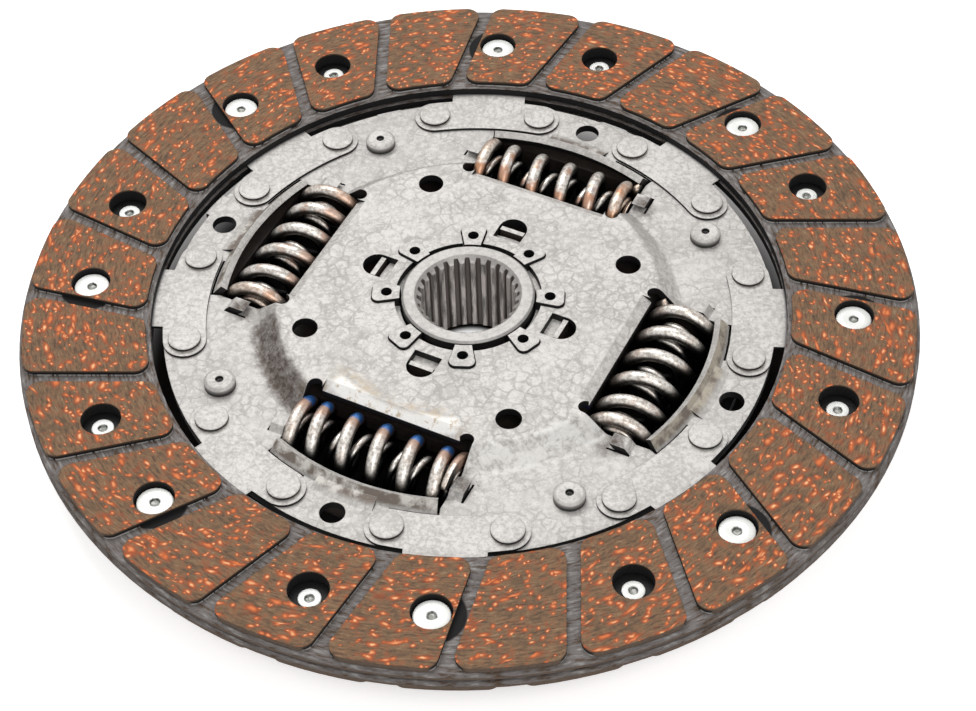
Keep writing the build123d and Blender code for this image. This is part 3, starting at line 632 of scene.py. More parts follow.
def friction_finish(look, sizes):
    """Moulded friction material: brown pads with fine hairs along the turn and copper flecks,
    a grey backing with pale ribs in the grooves, painted shade on the pad walls and in the rivet
    holes, a broken painted highlight along the walls' foot, and brown ground rims. Rise is the
    height from the middle between the facings."""
    groove_rise, hole_radius, rim_radius = 0.00245, 0.0078, 0.1038
    finish = Finish("moulded_friction", {"Roughness": 0.8, "Specular IOR Level": 0.25})
    unrolled = finish.unrolled(sizes.facing_radius)
    bent = finish.shifted(0.0016, 0.0050, unrolled)
    hairs = finish.noise(0.00050, 4.0, 0.7, finish.scaled((1, 6, 1), 0.06, bent))
    grain = finish.noise(0.0005, 2.0)
    rise = finish.math("ABSOLUTE", finish.math("SUBTRACT", finish.height, facing_middle))

    ribs = finish.noise(0.0008, 3.0, 0.65, finish.scaled((1, 5, 1), 0.0, unrolled))
    backing = finish.mix(finish.between(ribs, 0.50, 0.36), look.groove_grey, look.friction_dark)
    pale_ribs = finish.both(finish.between(ribs, 0.52, 0.70), 0.55)
    backing = finish.mix(pale_ribs, backing, look.groove_pale_and_highlight)
    above_groove = finish.between(rise, groove_rise, groove_rise + 0.0003)
    level_faces = finish.mix(above_groove, backing, paint_pads(finish, look, bent, hairs))

    # Pad walls: painted shade, under a band of the pads' own dark brown at the top
    near_top = finish.between(rise, pad_rise - 0.00065, pad_rise - 0.00020)
    walls = finish.mix(near_top, look.shade, look.friction_dark)
    # Painted highlight: a broken pale line along the foot of the pad walls
    foot_highlight = finish.both(
        finish.between(rise, groove_rise - 0.0001, groove_rise),
        finish.between(rise, groove_rise + 0.00045, groove_rise + 0.00025),
        finish.between(ribs, 0.36, 0.50),
    )
    walls = finish.mix(foot_highlight, walls, look.groove_pale_and_highlight)
    colour = finish.mix(finish.wall(), level_faces, walls)

    # Painted shade in the rivet holes
    hole_shade = finish.both(
        finish.between(finish.beside_facing_rivets(sizes), hole_radius, hole_radius - 0.0006),
        finish.between(rise, pad_rise - 0.0003, pad_rise - 0.0005),
    )
    colour = finish.mix(hole_shade, colour, look.shade)
    scratches = finish.noise(0.0007, 3.0, 0.6, finish.scaled((1, 1, 0.25)))
    ground = finish.mix(finish.between(scratches, 0.40, 0.65), look.rim_brown, look.friction_dark)
    rim = finish.both(
        finish.wall(),
        finish.between(finish.dot(finish.normal, finish.outward), 0.80, 0.95),
        finish.between(finish.radius, rim_radius - 0.0006, rim_radius),
    )
    finish.feed("Base Color", finish.mix(rim, colour, ground))
    rounded, _ = finish.edges(0.0004)
    finish.bump(finish.blend((hairs, 0.5), (grain, 0.6)), 0.00010, rounded)
    return finish


def phosphate_skin(finish, look, cracking=1.0):
    """Colour and relief of a phosphate skin: warm light grey with clouds and fine mottle, and a
    broken net of thin cracks between cells pushed about by noise."""
    cell_size = 0.0030
    cells = finish.node(
        "ShaderNodeTexVoronoi",
        {"Vector": finish.shifted(0.0024, 0.0022), "Scale": 1 / cell_size},
        feature="DISTANCE_TO_EDGE",
    ).outputs["Distance"]
    broken = finish.spread(finish.between(finish.noise(0.0065, 3.0), 0.36, 0.62), 0.25, 1.0)
    cracks = finish.both(finish.between(cells, 0.14, 0.0), broken, cracking)
    mottle = finish.noise(0.0012, 5.0, 0.75)
    clouds = finish.noise(0.011, 3.0)
    tone = finish.blend((mottle, 0.75), (clouds, 0.25))
    grey = finish.mix(finish.between(tone, 0.40, 0.58), look.phosphate_dark, look.phosphate_light)
    pits = finish.both(finish.between(finish.noise(0.0009, 3.0, 0.7), 0.58, 0.74), 0.6)
    grey = finish.mix(pits, grey, look.phosphate_crack)
    grey = finish.mix(finish.both(cracks, 0.6), grey, look.phosphate_crack)
    return grey, finish.blend((mottle, 0.8), (cracks, -0.8))


def phosphate_shader(name):
    """A finish with the soft shine of a phosphate skin."""
    return Finish(name, {"Metallic": 0.15, "Specular IOR Level": 0.35, "Roughness": 0.55})


def finish_skin(finish, look, colour, relief):
    """Feed a skin's colour and relief to the shader, with a painted highlight on upturned edges."""
    rounded, turned_edge = finish.edges(0.00035)
    # Painted highlight: edges that face upwards are painted bright
    rubbed = finish.both(turned_edge, 0.45, finish.between(finish.faces_up, 0.1, 0.6))
    finish.feed("Base Color", finish.mix(rubbed, colour, look.painted_highlight))
    finish.bump(relief, 0.00005, rounded)
    return finish


def phosphate_finish(look, name, cracking=1.0):
    """Phosphated steel whose upright sides get painted shade."""
    finish = phosphate_shader(name)
    skin, relief = phosphate_skin(finish, look, cracking)
    # Painted shade on the upright sides
    return finish_skin(finish, look, finish.mix(finish.wall(), skin, look.shade), relief)


def smudged_places(springs):
    """A place on the retainer plate just past the smudged end of each window."""
    past_middle = 0.0245
    places = []
    for index, side in enumerate(SMUDGED_SIDES):
        angle = springs.first_angle + index * tau / SPRING_COUNT
        out, along = springs.axis_radius, side * past_middle
        places.append((
            out * cos(angle) - along * sin(angle), out * sin(angle) + along * cos(angle), plate_top
        ))
    return places


def soil_and_shade_dome(finish, look, colour, feather, springs):
    """Dirt and painted shade on and round the dome, with feathered edges: painted shade on the far
    slope, a darker rim, baked-on oil on the stained slope and past the windows, and an oily tint
    in front."""
    slope = finish.between(finish.faces_up, 0.985, 0.93)
    # Painted shade on the slope that faces away
    far_slope_shade = finish.both(
        finish.ring(0.0440, 0.0505, 0.0015), slope, finish.sector(FAR_SLOPE, 30, 85),
        finish.spread(feather, 0.1, 0.9),
    )
    colour = finish.mix(far_slope_shade, colour, look.dull_grey_and_shade)
    clouded = finish.both(finish.between(feather, 0.35, 0.65), 0.35)
    rim = finish.both(finish.ring(0.0500, 0.0720, 0.0020), clouded)
    colour = finish.mix(rim, colour, look.phosphate_dark)

    oiled = finish.both(finish.ring(0.0462, 0.0498, 0.0045), finish.sector(STAINED_SLOPE, 15, 29))
    for smudged in smudged_places(springs):
        oiled = finish.either(oiled, finish.between(finish.near(smudged, 0.0100), 0.15, 0.70))
    hairs = finish.noise(0.0010, 3.0, 0.7, finish.scaled((1, 3, 1), 0.4))
    hairy = finish.blend((feather, 0.6), (hairs, 0.4), (oiled, 0.45))
    streaks = finish.between(finish.noise(0.0013, 4.0, 0.7), 0.38, 0.60)
    oil = finish.both(finish.between(hairy, 0.62, 0.98), oiled, finish.spread(streaks, 0.72, 1.0))
    colour = finish.mix(oil, colour, look.oil_brown)
    tint = finish.both(
        finish.ring(0.0370, 0.0450, 0.0040), finish.sector(FRONT_WINDOW, 16, 32),
        finish.between(feather, 0.42, 0.62), 0.8,
    )
    return finish.mix(tint, colour, look.oil_tint)


def paint_dome_highlights(finish, look, colour, feather):
    """Painted highlight on the dome: a slope and the front window's flap painted near white, with
    specks of oil tint on the flap.
    """
    # Painted highlight on the slope and the flap that face the front lamp
    slope_highlight = finish.both(
        finish.ring(0.0450, 0.0495, 0.0012), finish.sector(HIGHLIGHT_SLOPE, 26, 33),
        finish.between(feather, 0.36, 0.56), 0.7,
    )
    flap_ring = finish.ring(0.0380, 0.0405, 0.0015)
    flap = finish.both(flap_ring, finish.sector(FRONT_WINDOW, 22, 25), 0.9)
    colour = finish.mix(finish.either(slope_highlight, flap), colour, look.painted_highlight)
    specks = finish.both(flap, finish.between(finish.noise(0.0022, 4.0, 0.7), 0.54, 0.66))
    return finish.mix(specks, colour, look.oil_tint)


def paint_lips(finish, look, colour):
    """Worn lips of the windows, on the faces that look outwards above the plate's floor. Those
    round the right window are rubbed cream and the others are bare in patches."""
    lip = finish.both(
        finish.between(finish.radius, 0.0578, 0.0586),
        finish.between(finish.radius, 0.0650, 0.0640),
        finish.between(finish.height, 0.0188, 0.0196),
        finish.between(finish.dot(finish.normal, finish.outward), 0.15, 0.35),
    )
    worn = finish.noise(0.0045, 4.0, 0.65)
    patched = finish.mix(finish.between(worn, 0.44, 0.66), look.lip_brown, look.lip_pale)
    rubbed = finish.mix(finish.between(worn, 0.40, 0.60), look.lip_brown, look.lip_cream)
    lip_colour = finish.mix(finish.sector(RIGHT_WINDOW, 28, 36), patched, rubbed)
    return finish.mix(lip, colour, lip_colour)


def retainer_finish(look, springs):
    """The retainer plate: phosphate with a soiled dome that carries painted shade and painted
    highlights, painted shade on the cut walls and underside, worn window lips, and marking paint in
    one window's corner."""
    painted_corner = (0.02516, -0.03318, 0.0195)
    finish = phosphate_shader("phosphated_retainer")
    colour, relief = phosphate_skin(finish, look)
    feather = finish.noise(0.0035, 4.0, 0.7, finish.shifted(0.004, 0.006))
    colour = soil_and_shade_dome(finish, look, colour, feather, springs)
    colour = paint_dome_highlights(finish, look, colour, feather)
    # Painted shade on the cut walls and on the underside under the dome
    faces_down = finish.between(finish.faces_up, 0.0, -0.3)
    underside = finish.both(faces_down, finish.ring(0.0, 0.064, 0.001))
    dark = finish.either(finish.wall(), underside)
    colour = finish.mix(dark, colour, look.shade)
    colour = paint_lips(finish, look, colour)
    paint = finish.both(finish.near(painted_corner, 0.0030), dark)
    colour = finish.mix(paint, colour, look.paint_navy)
    return finish_skin(finish, look, colour, relief)


def counter_finish(look):
    """The counter plate: phosphate outside, and painted shade on its walls and on the faces that
    look up inside.
    """
    finish = phosphate_shader("phosphated_counter")
    skin, relief = phosphate_skin(finish, look)
    # Painted shade on the walls and on the faces that look up into the disc
    inside = finish.either(finish.wall(), finish.between(finish.faces_up, 0.0, 0.3))
    return finish_skin(finish, look, finish.mix(inside, skin, look.shade), relief)


def segment_finish(look, sizes):
    """The cushion segments: phosphated feet that show, painted shade on the wings between the
    facings, and black painted shade in the rivet holes and on upright faces."""
    foot_radius, hole_radius = 0.0738, 0.0080
    finish = phosphate_shader("phosphated_segments")
    skin, relief = phosphate_skin(finish, look, 0.6)
    # Painted shade on the wings between the facings
    wing = finish.between(finish.radius, foot_radius, foot_radius + 0.0008)
    skin = finish.mix(wing, skin, look.wing_shade)
    # Black painted shade in the rivet holes
    away = finish.beside_facing_rivets(sizes)
    skin = finish.mix(finish.between(away, hole_radius, hole_radius - 0.0006), skin, look.shade)
    # Painted shade on upright faces
    return finish_skin(finish, look, finish.mix(finish.wall(), skin, look.shade), relief)


def inner_finish(look, name, dark_below, light_above):
    """Steel inside the damper: painted shade with oil brown specks, and its phosphate only on
    faces that look up above a height.
    """
    finish = phosphate_shader(name)
    skin, relief = phosphate_skin(finish, look, 0.3)
    # Painted shade with oil brown specks, and the phosphate kept only on high faces that look up
    shade_and_oil_specks = finish.mix(finish.both(finish.noise(0.002, 4.0), 0.6), look.shade, look.oil_brown)
    high = finish.between(finish.height, dark_below, light_above)
    light = finish.both(high, finish.between(finish.faces_up, 0.4, 0.8))
    finish.feed("Base Color", finish.mix(light, shade_and_oil_specks, skin))
    finish.bump(relief, 0.00005)
    return finish


def hub_finish(look):
    """The hub: mottled end faces, light spline teeth with painted shade in their valleys, and
    painted shade on its outer sides.
    """
    tooth_radius, valley_radius, mouth_radius = 0.01120, 0.01180, 0.0132
    finish = Finish("machined_hub", {"Metallic": 0.3, "Specular IOR Level": 0.4, "Roughness": 0.45})
    skin, relief = phosphate_skin(finish, look, 0.35)
    at_end = finish.either(
        finish.between(finish.height, hub_top - 0.0030, hub_top - 0.0010),
        finish.between(finish.height, 0.0030, 0.0010),
    )
    end_face = finish.both(finish.levelness(0.5, 0.8), at_end)
    streaks = finish.noise(0.0010, 3.0, 0.6, finish.scaled((1, 1, 8)))
    teeth = finish.mix(finish.between(streaks, 0.62, 0.36), look.tooth_grey, look.dull_grey_and_shade)
    # Painted shade in the spline valleys
    valleys = finish.between(finish.radius, tooth_radius, valley_radius)
    bore = finish.mix(valleys, teeth, look.spline_valley_shade)
    # Painted shade on the hub's outer sides
    inside = finish.between(finish.radius, mouth_radius + 0.0006, mouth_radius)
    sides = finish.mix(inside, look.shade, bore)
    dulled = finish.mix(0.46, skin, look.dull_grey_and_shade)
    finish.feed("Base Color", finish.mix(end_face, sides, dulled))
    rounded, _ = finish.edges(0.0003)
    finish.bump(relief, 0.00003, rounded)
    return finish


def pin_finish(look, sizes, low, high):
    """Stop pins: phosphated heads with black painted shade in the dimple, and painted shade on the
    sides that deepens away from the heads.
    """
    finish = phosphate_shader("phosphated_pins")
    skin, relief = phosphate_skin(finish, look, 0.4)
    half = (high - low) / 2
    from_middle = finish.math("ABSOLUTE", finish.math("SUBTRACT", finish.height, low + half))
    # Painted shade on the sides, deepening away from the heads
    on_head = finish.between(from_middle, half - 0.9 * sizes.pin_head_height, half)
    sides = finish.mix(on_head, look.shade, look.phosphate_dark)
    colour = finish.mix(finish.levelness(0.9, 0.5), skin, sides)
    # Black painted shade in the dimple
    away = finish.beside(sizes.pin_radius, sizes.pin_angle, SPRING_COUNT)
    dimple = finish.between(away, 0.55 * sizes.pin_dimple, 0.48 * sizes.pin_dimple)
    return finish_skin(finish, look, finish.mix(dimple, colour, look.shade), relief)


def spring_finish(look, name, sizes, angle, depths, warmth, painted):
    """Shot-blasted spring wire: speckled steel, browned towards the hub and at the ends, with
    painted shade down its flanks, on its ground ends and deep in its window, and blue paint on
    the coils' hub side where the spring is marked. Across is the distance from the disc's axis
    along the window's middle line, along is the distance from that line, and depths are the
    distances from the flange's middle within which the wire gets painted shade and beyond which
    it keeps its own colour."""
    finish = Finish(name, {"Metallic": 0.85, "Specular IOR Level": 0.5, "Roughness": 0.36})
    axis_radius = sizes.axis_radius
    across = finish.dot(finish.place, (cos(angle), sin(angle), 0))
    along = finish.dot(finish.place, (-sin(angle), cos(angle), 0))
    past_middle = finish.math("ABSOLUTE", along)
    speckle = finish.noise(0.0009, 5.0, 0.7)
    clouds = finish.noise(0.004, 3.0, 0.6)
    steel = finish.mix(finish.between(speckle, 0.40, 0.60), look.spring_dark, look.spring_light)

    hub_side = finish.between(across, axis_radius - 0.0015, axis_radius - 0.0065)
    tinted = finish.between(finish.blend((clouds, 1.0), (hub_side, 0.22)), 0.50, 0.72)
    steel = finish.mix(finish.both(tinted, warmth), steel, look.spring_brown)
    rusty = finish.both(finish.between(past_middle, 0.0160, 0.0190), warmth, 0.35)
    steel = finish.mix(rusty, steel, look.spring_rust)
    # Painted shade on the ground ends, where they sit against the windows' ends
    ground = finish.between(past_middle, 0.02044, 0.02049)
    steel = finish.mix(finish.both(ground, 0.75), steel, look.shade)
    # Painted shade down the flanks of the wire
    flank_shade = finish.both(finish.levelness(0.60, 0.10), 0.80)
    steel = finish.mix(flank_shade, steel, look.shade)
    if painted:
        steel = paint_coils(finish, look, steel, axis_radius, across, along, clouds)

    # Painted shade deep in the window: the wire keeps its colour only beyond the depths
    rise = finish.math("SUBTRACT", finish.height, flange_middle)
    fall = finish.math("SUBTRACT", flange_middle, finish.height)
    faces_down = finish.between(finish.faces_up, 0.0, -0.4)
    lit_below = finish.both(finish.between(fall, *depths), faces_down)
    lit = finish.either(finish.between(rise, *depths), lit_below)
    finish.feed("Base Color", finish.mix(lit, look.shade, steel))
    finish.bump(speckle, 0.00006)
    return finish


def paint_coils(finish, look, steel, axis_radius, across, along, clouds):
    """Blue marking paint on top of the coils' hub side, brown below it, and none on the last."""
    below = finish.between(across, axis_radius + 0.0010, axis_radius - 0.0025)
    steel = finish.mix(finish.both(below, 0.75), steel, look.spring_brown)
    wavy = finish.math("ADD", across, finish.both(clouds, 0.0016))
    paint = finish.both(
        finish.between(wavy, axis_radius - 0.0024, axis_radius - 0.0036),
        finish.between(finish.height, flange_middle + 0.0056, flange_middle + 0.0064),
        finish.between(along, 0.0180, 0.0172),
    )
    return finish.mix(paint, steel, look.paint_blue)


def facing_rivet_finish(look, name, sizes, first_angle, core_radius):
    """White plated rivets with a dull hollow, painted shade at its rim, and painted shade on the
    sides.
    """
    finish = Finish(name, {"Metallic": 0.1, "Specular IOR Level": 0.5, "Roughness": 0.4})
    away = finish.beside(sizes.facing_radius, first_angle, len(SEGMENTS))
    mottle = finish.noise(0.0008, 3.0)
    wavy = finish.math("ADD", away, finish.both(finish.noise(0.0012, 2.0), 0.0009))
    core = finish.between(wavy, core_radius + 0.0007, core_radius + 0.0003)
    hollow = finish.mix(finish.between(mottle, 0.46, 0.66), look.rivet_core, look.groove_pale_and_highlight)
    # Painted shade at the hollow's rim
    rim = finish.both(core, finish.between(wavy, core_radius, core_radius + 0.0003), 0.7)
    hollow = finish.mix(rim, hollow, look.shade)
    colour = finish.mix(finish.both(mottle, 0.12), look.rivet_white, look.phosphate_dark)
    colour = finish.mix(core, colour, hollow)
    # Painted shade on the rivets' upright sides
    outside = finish.between(away, core_radius + 0.0008, core_radius + 0.0011)
    finish.feed("Base Color", finish.mix(finish.both(finish.wall(), outside), colour, look.shade))
    finish.bump(mottle, 0.00004)
    return finish


def moulded_finish(look):
    """Dark moulded plastic of the bush and the friction washer."""
    finish = Finish("moulded_bush", {"Roughness": 0.55, "Specular IOR Level": 0.4})
    grain = finish.noise(0.0008, 3.0)
    colour = finish.mix(finish.both(grain, 0.5), look.bush_brown, look.groove_grey)
    finish.feed("Base Color", colour)
    finish.bump(grain, 0.00004)
    return finish


def floor_finish(look, stage):
    """A pale floor. What looks at it directly sees it a little brighter, with a painted shadow
    under the disc and a painted pool of light, pale and glowing, under the hub's bore."""
    finish = Finish("pale_floor", {"Roughness": 0.9, "Specular IOR Level": 0.0})
    path = finish.node("ShaderNodeLightPath", {}).outputs
    seen = finish.either(path["Is Camera Ray"], path["Is Glossy Ray"], path["Is Transmission Ray"])
    # Painted shadow under the disc, and a painted pool of light under the hub's bore
    round_disc = finish.between(finish.radius, stage.shade_inner, stage.shade_outer)
    bore_light_patch = finish.between(finish.radius, stage.bore_light, 0.8 * stage.bore_light)
    pale = finish.either(round_disc, bore_light_patch)
    dark = finish.both(seen, finish.without(pale))
    finish.feed("Base Color", finish.mix(dark, look.floor_pale, look.floor_shade))
    finish.shader.inputs["Emission Color"].default_value = (1, 1, 1, 1)
    finish.feed("Emission Strength", finish.both(seen, pale, stage.floor_glow))
    return finish


# Operators, one for each group of pieces


class MakeSprings(bpy.types.Operator):
    """Make the four outer and four inner damper springs as round wire with ground ends"""

    bl_idname = "clutch_disc.make_springs"
    bl_label = "Damper Springs"

    def execute(self, context):
        sizes = context.scene.clutch_disc_springs
        look = context.scene.clutch_disc_colours
        offset = np.array([sizes.axis_radius, 0, flange_middle])
        # At the limit a spring loses the way by which the windows' ends close on each other, and
        # the room that its own ends need, as they stand at half the twist to the windows' ends.
        for index, warmth in enumerate(SPRING_WARMTHS):
            number = index + 1
            angle = sizes.first_angle + index * tau / SPRING_COUNT
            outer = coil_grid(
                sizes.length, sizes.outer_diameter, sizes.outer_wire, sizes.outer_pitch,
                sizes.outer_turns[index], 1,
            )
            inner = coil_grid(
                sizes.length, sizes.inner_diameter, sizes.inner_wire, sizes.inner_pitch,
                sizes.inner_turns[index], -1,
            )
            for side, coil in (("outer", outer), ("inner", inner)):
                piece = piece_from_grids(f"spring_{side}_{number}", [placed(coil, angle, offset)])
                dress(piece, spring_finish(
                    look, f"spring_wire_{side}_{number}", sizes, angle, LIT_DEPTHS[side], warmth,
                    number == PAINTED_SPRING and side == "outer",
                ))
                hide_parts(f"damper_spring_{side}_{number}")
                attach(piece, "damper_springs")
                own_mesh(piece)
        return {"FINISHED"}


class MakeFacingRivets(bpy.types.Operator):
    """Make the tubular rivets that hold the two facings"""

    bl_idname = "clutch_disc.make_facing_rivets"
    bl_label = "Facing Rivets"

    def execute(self, context):
        sizes = context.scene.clutch_disc_rivets
        look = context.scene.clutch_disc_colours
        head, tail = sizes.facing_head / 2, sizes.facing_tail / 2
        shank, bore = sizes.facing_shank / 2, sizes.facing_bore / 2
        edge, crown = 0.0001, 0.62
        for side, first_angle, up, core_radius in (
            ("upper", sizes.facing_upper_angle, 1, 0.0011),
            ("lower", sizes.facing_lower_angle, -1, 0.0010),
        ):
            low, high = (corner.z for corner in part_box(f"facing_rivets_{side}"))
            middle, half = (low + high) / 2, (high - low) / 2
            under_head = half - sizes.facing_head_height
            over_tail = sizes.facing_tail_height - half
            recess = sizes.facing_recess
            outline = rounded_outline([
                (0, half - recess, 0),
                (bore, half - recess, edge),
                (bore, half - edge, 3 * edge),
                (crown * head, half, 4 * edge),
                (head, half - 1.5 * edge, 3.5 * edge),
                (head, under_head, edge),
                (shank, under_head, edge),
                (shank, over_tail, edge),
                (tail, over_tail, edge),
                (tail, -half, 2.8 * edge),
                (bore, -half, 2.8 * edge),
                (bore, recess - half, edge),
                (0, recess - half, 0),
            ])
            outline[:, 1] = middle + up * outline[:, 1]
            places = ring_places(sizes.facing_radius, first_angle, len(SEGMENTS))
            piece = piece_from_grids(f"facing_rivet_set_{side}", turned_grids(outline, places))
            finish_name = f"plated_rivets_{side}"
            dress(piece, facing_rivet_finish(look, finish_name, sizes, first_angle, core_radius))
            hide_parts(f"facing_rivets_{side}")
            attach(piece, "disc")
        return {"FINISHED"}


class MakePlateRivets(bpy.types.Operator):
    """Make the flat rivets that hold the cushion segments' feet to the retainer plate"""

    bl_idname = "clutch_disc.make_plate_rivets"
    bl_label = "Plate Rivets"

    def execute(self, context):
        sizes = context.scene.clutch_disc_rivets
        low, high = (corner.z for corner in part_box("plate_rivets"))
        head, tail, shank = sizes.plate_head / 2, sizes.plate_tail / 2, sizes.plate_shank / 2
        under_head, over_tail = high - sizes.plate_head_height, low + sizes.plate_tail_height
        edge, crown = 0.0003, 0.00008
        outline = rounded_outline([
            (0, high, 0),
            (head, high - crown, edge),
            (head, under_head, 0),
            (shank, under_head, 0),
            (shank, over_tail, 0),
            (tail, over_tail, 0),
            (tail, low, edge),
            (0, low, 0),
        ])
        places = np.concatenate([
            ring_places(sizes.plate_radius, first_angle, len(SEGMENTS))
            for first_angle in (
                sizes.plate_angle - sizes.plate_half_angle,
                sizes.plate_angle + sizes.plate_half_angle,
            )
        ])
        piece = piece_from_grids("plate_rivet_set", turned_grids(outline, places))
        dress(piece, phosphate_finish(context.scene.clutch_disc_colours, "phosphated_rivets", 0.5))
        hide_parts("plate_rivets")
        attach(piece, "disc")
        return {"FINISHED"}


class MakeStopPins(bpy.types.Operator):
    """Make the four stop pins, each with a dimpled riveted head"""

    bl_idname = "clutch_disc.make_stop_pins"
    bl_label = "Stop Pins"

    def execute(self, context):
        sizes = context.scene.clutch_disc_rivets
        low, high = (corner.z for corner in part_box("stop_pins"))
        head, body, neck = sizes.pin_head / 2, sizes.pin_body / 2, sizes.pin_neck / 2
        dimple, rise = sizes.pin_dimple / 2, sizes.pin_head_height
        under_plate = high - rise - sizes.plate_thickness
        flat, bulge, edge = 0.8 * head, 0.0006, 0.0002
        outline = rounded_outline([
            (0, low, 0),
            (flat, low, 2 * edge),
            (head, low + bulge, 1.5 * edge),
            (head, low + rise, 0),
            (neck, low + rise, 0),
            (neck, counter_top, 0),
            (body, counter_top, edge),
            (body, under_plate, edge),
            (neck, under_plate, 0),
            (neck, high - rise, 0),
            (head, high - rise, 0),
            (head, high - bulge, 1.5 * edge),
            (flat, high, 2 * edge),
            (dimple, high, 0.75 * edge),
            (0.8 * dimple, high - sizes.pin_dimple_depth, edge),
            (0, high - sizes.pin_dimple_depth, 0),
        ])
        places = ring_places(sizes.pin_radius, sizes.pin_angle, SPRING_COUNT)
        piece = piece_from_grids("stop_pin_set", turned_grids(outline, places))
        dress(piece, pin_finish(context.scene.clutch_disc_colours, sizes, low, high))
        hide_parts("stop_pins")
        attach(piece, "disc")
        return {"FINISHED"}


class FinishFacings(bpy.types.Operator):
    """Give both facings their moulded friction material"""

    bl_idname = "clutch_disc.finish_facings"
    bl_label = "Facings"

    def execute(self, context):
        scene = context.scene
        finish = friction_finish(scene.clutch_disc_colours, scene.clutch_disc_rivets)
        for name in ("facing_upper", "facing_lower"):
            dress(nodes[name], finish)
        return {"FINISHED"}


class FinishPlates(bpy.types.Operator):
    """Give the side plates and the lug ring their phosphate, and the plates inside their painted
    shade and oil specks
    """

    bl_idname = "clutch_disc.finish_plates"
    bl_label = "Side Plates"

    def execute(self, context):
        look = context.scene.clutch_disc_colours
        springs = context.scene.clutch_disc_springs
        dress(nodes["retainer_plate"], retainer_finish(look, springs))
        dress(nodes["counter_plate"], counter_finish(look))
        dress(nodes["lug_ring"], phosphate_finish(look, "phosphated_lugs", 0.5))
        # Painted shade inside the damper, with oil brown specks
        tabs = inner_finish(look, "oiled_tabs", tab_top - 0.0015, tab_top - 0.0004)
        dress(nodes["tab_plate"], tabs)
        oiled = inner_finish(look, "oiled_steel", plate_top, plate_top + 0.001)
        for name in ("diaphragm_spring", "hub_flange"):
            dress(nodes[name], oiled)
        return {"FINISHED"}


class FinishHub(bpy.types.Operator):
    """Give the hub its mottled end faces, and its spline light teeth and dark valleys"""

    bl_idname = "clutch_disc.finish_hub"
    bl_label = "Hub"

    def execute(self, context):
        dress(nodes["hub"], hub_finish(context.scene.clutch_disc_colours))
        return {"FINISHED"}


class FinishSegments(bpy.types.Operator):
    """Give the cushion segments their phosphated feet, dark wings and black rivet holes"""

    bl_idname = "clutch_disc.finish_segments"
    bl_label = "Cushion Segments"

    def execute(self, context):
        scene = context.scene
        finish = segment_finish(scene.clutch_disc_colours, scene.clutch_disc_rivets)
        for name in SEGMENTS:
            dress(nodes[name], finish)
        return {"FINISHED"}


class FinishBushes(bpy.types.Operator):
    """Give the bush and the friction washer their moulded plastic"""

    bl_idname = "clutch_disc.finish_bushes"
    bl_label = "Bush and Washer"

    def execute(self, context):
        finish = moulded_finish(context.scene.clutch_disc_colours)
        for name in ("centring_bush", "friction_washer"):
            dress(nodes[name], finish)
        return {"FINISHED"}


class MakeStage(bpy.types.Operator):
    """Make the floor, the lamps, the sky and the camera"""

    bl_idname = "clutch_disc.make_stage"
    bl_label = "Stage"

    def execute(self, context):
        scene = context.scene
        settings = scene.clutch_disc_stage
        scene.view_settings.view_transform = "Standard"
        self.make_floor(scene.clutch_disc_colours, settings)
        self.make_sky(scene, settings)
        for name in ("back_lamp", "front_lamp"):
            self.make_lamp(name, *(
                getattr(settings, f"{name}_{setting}") for setting in ("place", "width", "power")
            ))
        self.make_camera(scene, settings)
        return {"FINISHED"}

    def make_floor(self, look, settings):
        """A flat square just under the hub."""
        reach, height = 1.5, -0.0001
        corners = np.array([[-reach, -reach], [reach, -reach], [-reach, reach], [reach, reach]])
        grid = np.concatenate([corners, np.full((4, 1), height)], axis=1).reshape(2, 2, 3)
        floor = piece_from_grids("floor", [grid])
        dress(floor, floor_finish(look, settings))

    def make_sky(self, scene, settings):
        """Even light from all round, and plain white where it is seen or reflected."""
        world = bpy.data.worlds.new("sky")
        scene.world = world
        world.use_nodes = True
        tree = world.node_tree
        sky = tree.nodes["Background"]
        sky.inputs["Color"].default_value = (1, 1, 1, 1)
        path = tree.nodes.new("ShaderNodeLightPath").outputs
        seen = path["Is Camera Ray"]
        for ray in ("Is Glossy Ray", "Is Transmission Ray"):
            either = tree.nodes.new("ShaderNodeMath")
            either.operation = "MAXIMUM"
            tree.links.new(seen, either.inputs[0])
            tree.links.new(path[ray], either.inputs[1])
            seen = either.outputs[0]
        strength = tree.nodes.new("ShaderNodeMapRange")
        strength.inputs["To Min"].default_value = settings.sky_strength
        strength.inputs["To Max"].default_value = 1.0
        tree.links.new(seen, strength.inputs["Value"])
        tree.links.new(strength.outputs[0], sky.inputs["Strength"])

    def make_lamp(self, name, location, width, watts):
        """A square lamp that faces the disc."""
        lamp = bpy.data.objects.new(name, bpy.data.lights.new(name, "AREA"))
        lamp.data.size = width
        lamp.data.energy = watts
        lamp.location = location
        lamp.rotation_euler = (-lamp.location).to_track_quat("-Z", "Y").to_euler()
        bpy.context.scene.collection.objects.link(lamp)

    def make_camera(self, scene, settings):
        """The camera, tipped down from level and rolled a little."""
        camera = bpy.data.objects.new("camera", bpy.data.cameras.new("camera"))
        camera.data.lens = settings.lens
        camera.data.sensor_width = SENSOR_WIDTH
        camera.matrix_world = (
            Matrix.Translation(settings.camera_place)
            @ Matrix.Rotation(pi / 2 - settings.camera_elevation, 4, "X")
            @ Matrix.Rotation(settings.camera_roll, 4, "Z")
        )
        scene.collection.objects.link(camera)
        scene.camera = camera


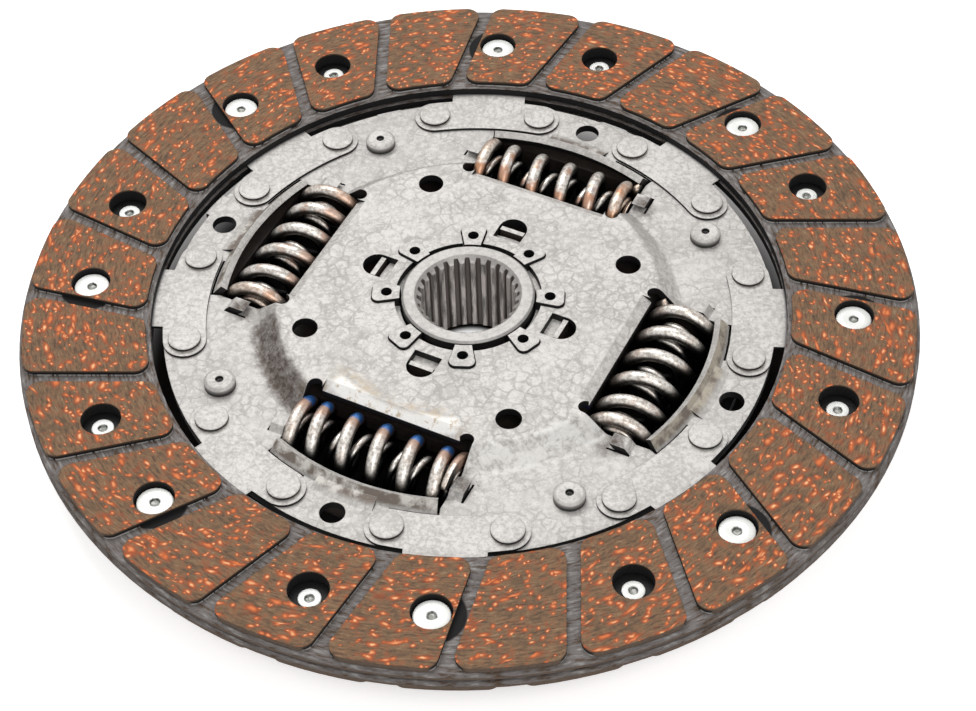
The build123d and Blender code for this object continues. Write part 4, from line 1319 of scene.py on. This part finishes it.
class ClutchDiscPanel(bpy.types.Panel):
    """Sidebar panel with every size, colour and operator of the disc."""

    bl_idname = "VIEW3D_PT_clutch_disc"
    bl_label = "Clutch Disc"
    bl_space_type = "VIEW_3D"
    bl_region_type = "UI"
    bl_category = "Clutch Disc"

    def draw(self, context):
        for group in PROPERTY_GROUPS:
            settings = getattr(context.scene, group)
            box = self.layout.box()
            for name in settings.bl_rna.properties.keys():
                if name not in ("rna_type", "name"):
                    box.prop(settings, name)
        for operator in OPERATORS:
            self.layout.operator(operator.bl_idname)


PROPERTY_GROUPS = {
    "clutch_disc_springs": ClutchDiscSprings,
    "clutch_disc_rivets": ClutchDiscRivets,
    "clutch_disc_colours": ClutchDiscColours,
    "clutch_disc_stage": ClutchDiscStage,
}
OPERATORS = (
    MakeStage,
    FinishFacings,
    FinishPlates,
    FinishHub,
    FinishSegments,
    FinishBushes,
    MakeSprings,
    MakeFacingRivets,
    MakePlateRivets,
    MakeStopPins,
)


def register():
    """Add the classes and the scene's property groups."""
    for name, group in PROPERTY_GROUPS.items():
        bpy.utils.register_class(group)
        setattr(bpy.types.Scene, name, bpy.props.PointerProperty(type=group))
    for operator in OPERATORS:
        bpy.utils.register_class(operator)
    bpy.utils.register_class(ClutchDiscPanel)


def unregister():
    """Take away what register added."""
    bpy.utils.unregister_class(ClutchDiscPanel)
    for operator in reversed(OPERATORS):
        bpy.utils.unregister_class(operator)
    for name, group in PROPERTY_GROUPS.items():
        delattr(bpy.types.Scene, name)
        bpy.utils.unregister_class(group)


def main():
    """Make and finish every piece."""
    register()
    bpy.ops.clutch_disc.make_stage()
    bpy.ops.clutch_disc.finish_facings()
    bpy.ops.clutch_disc.finish_plates()
    bpy.ops.clutch_disc.finish_hub()
    bpy.ops.clutch_disc.finish_segments()
    bpy.ops.clutch_disc.finish_bushes()
    bpy.ops.clutch_disc.make_springs()
    bpy.ops.clutch_disc.make_facing_rivets()
    bpy.ops.clutch_disc.make_plate_rivets()
    bpy.ops.clutch_disc.make_stop_pins()


if __name__ == "__main__":
    main()
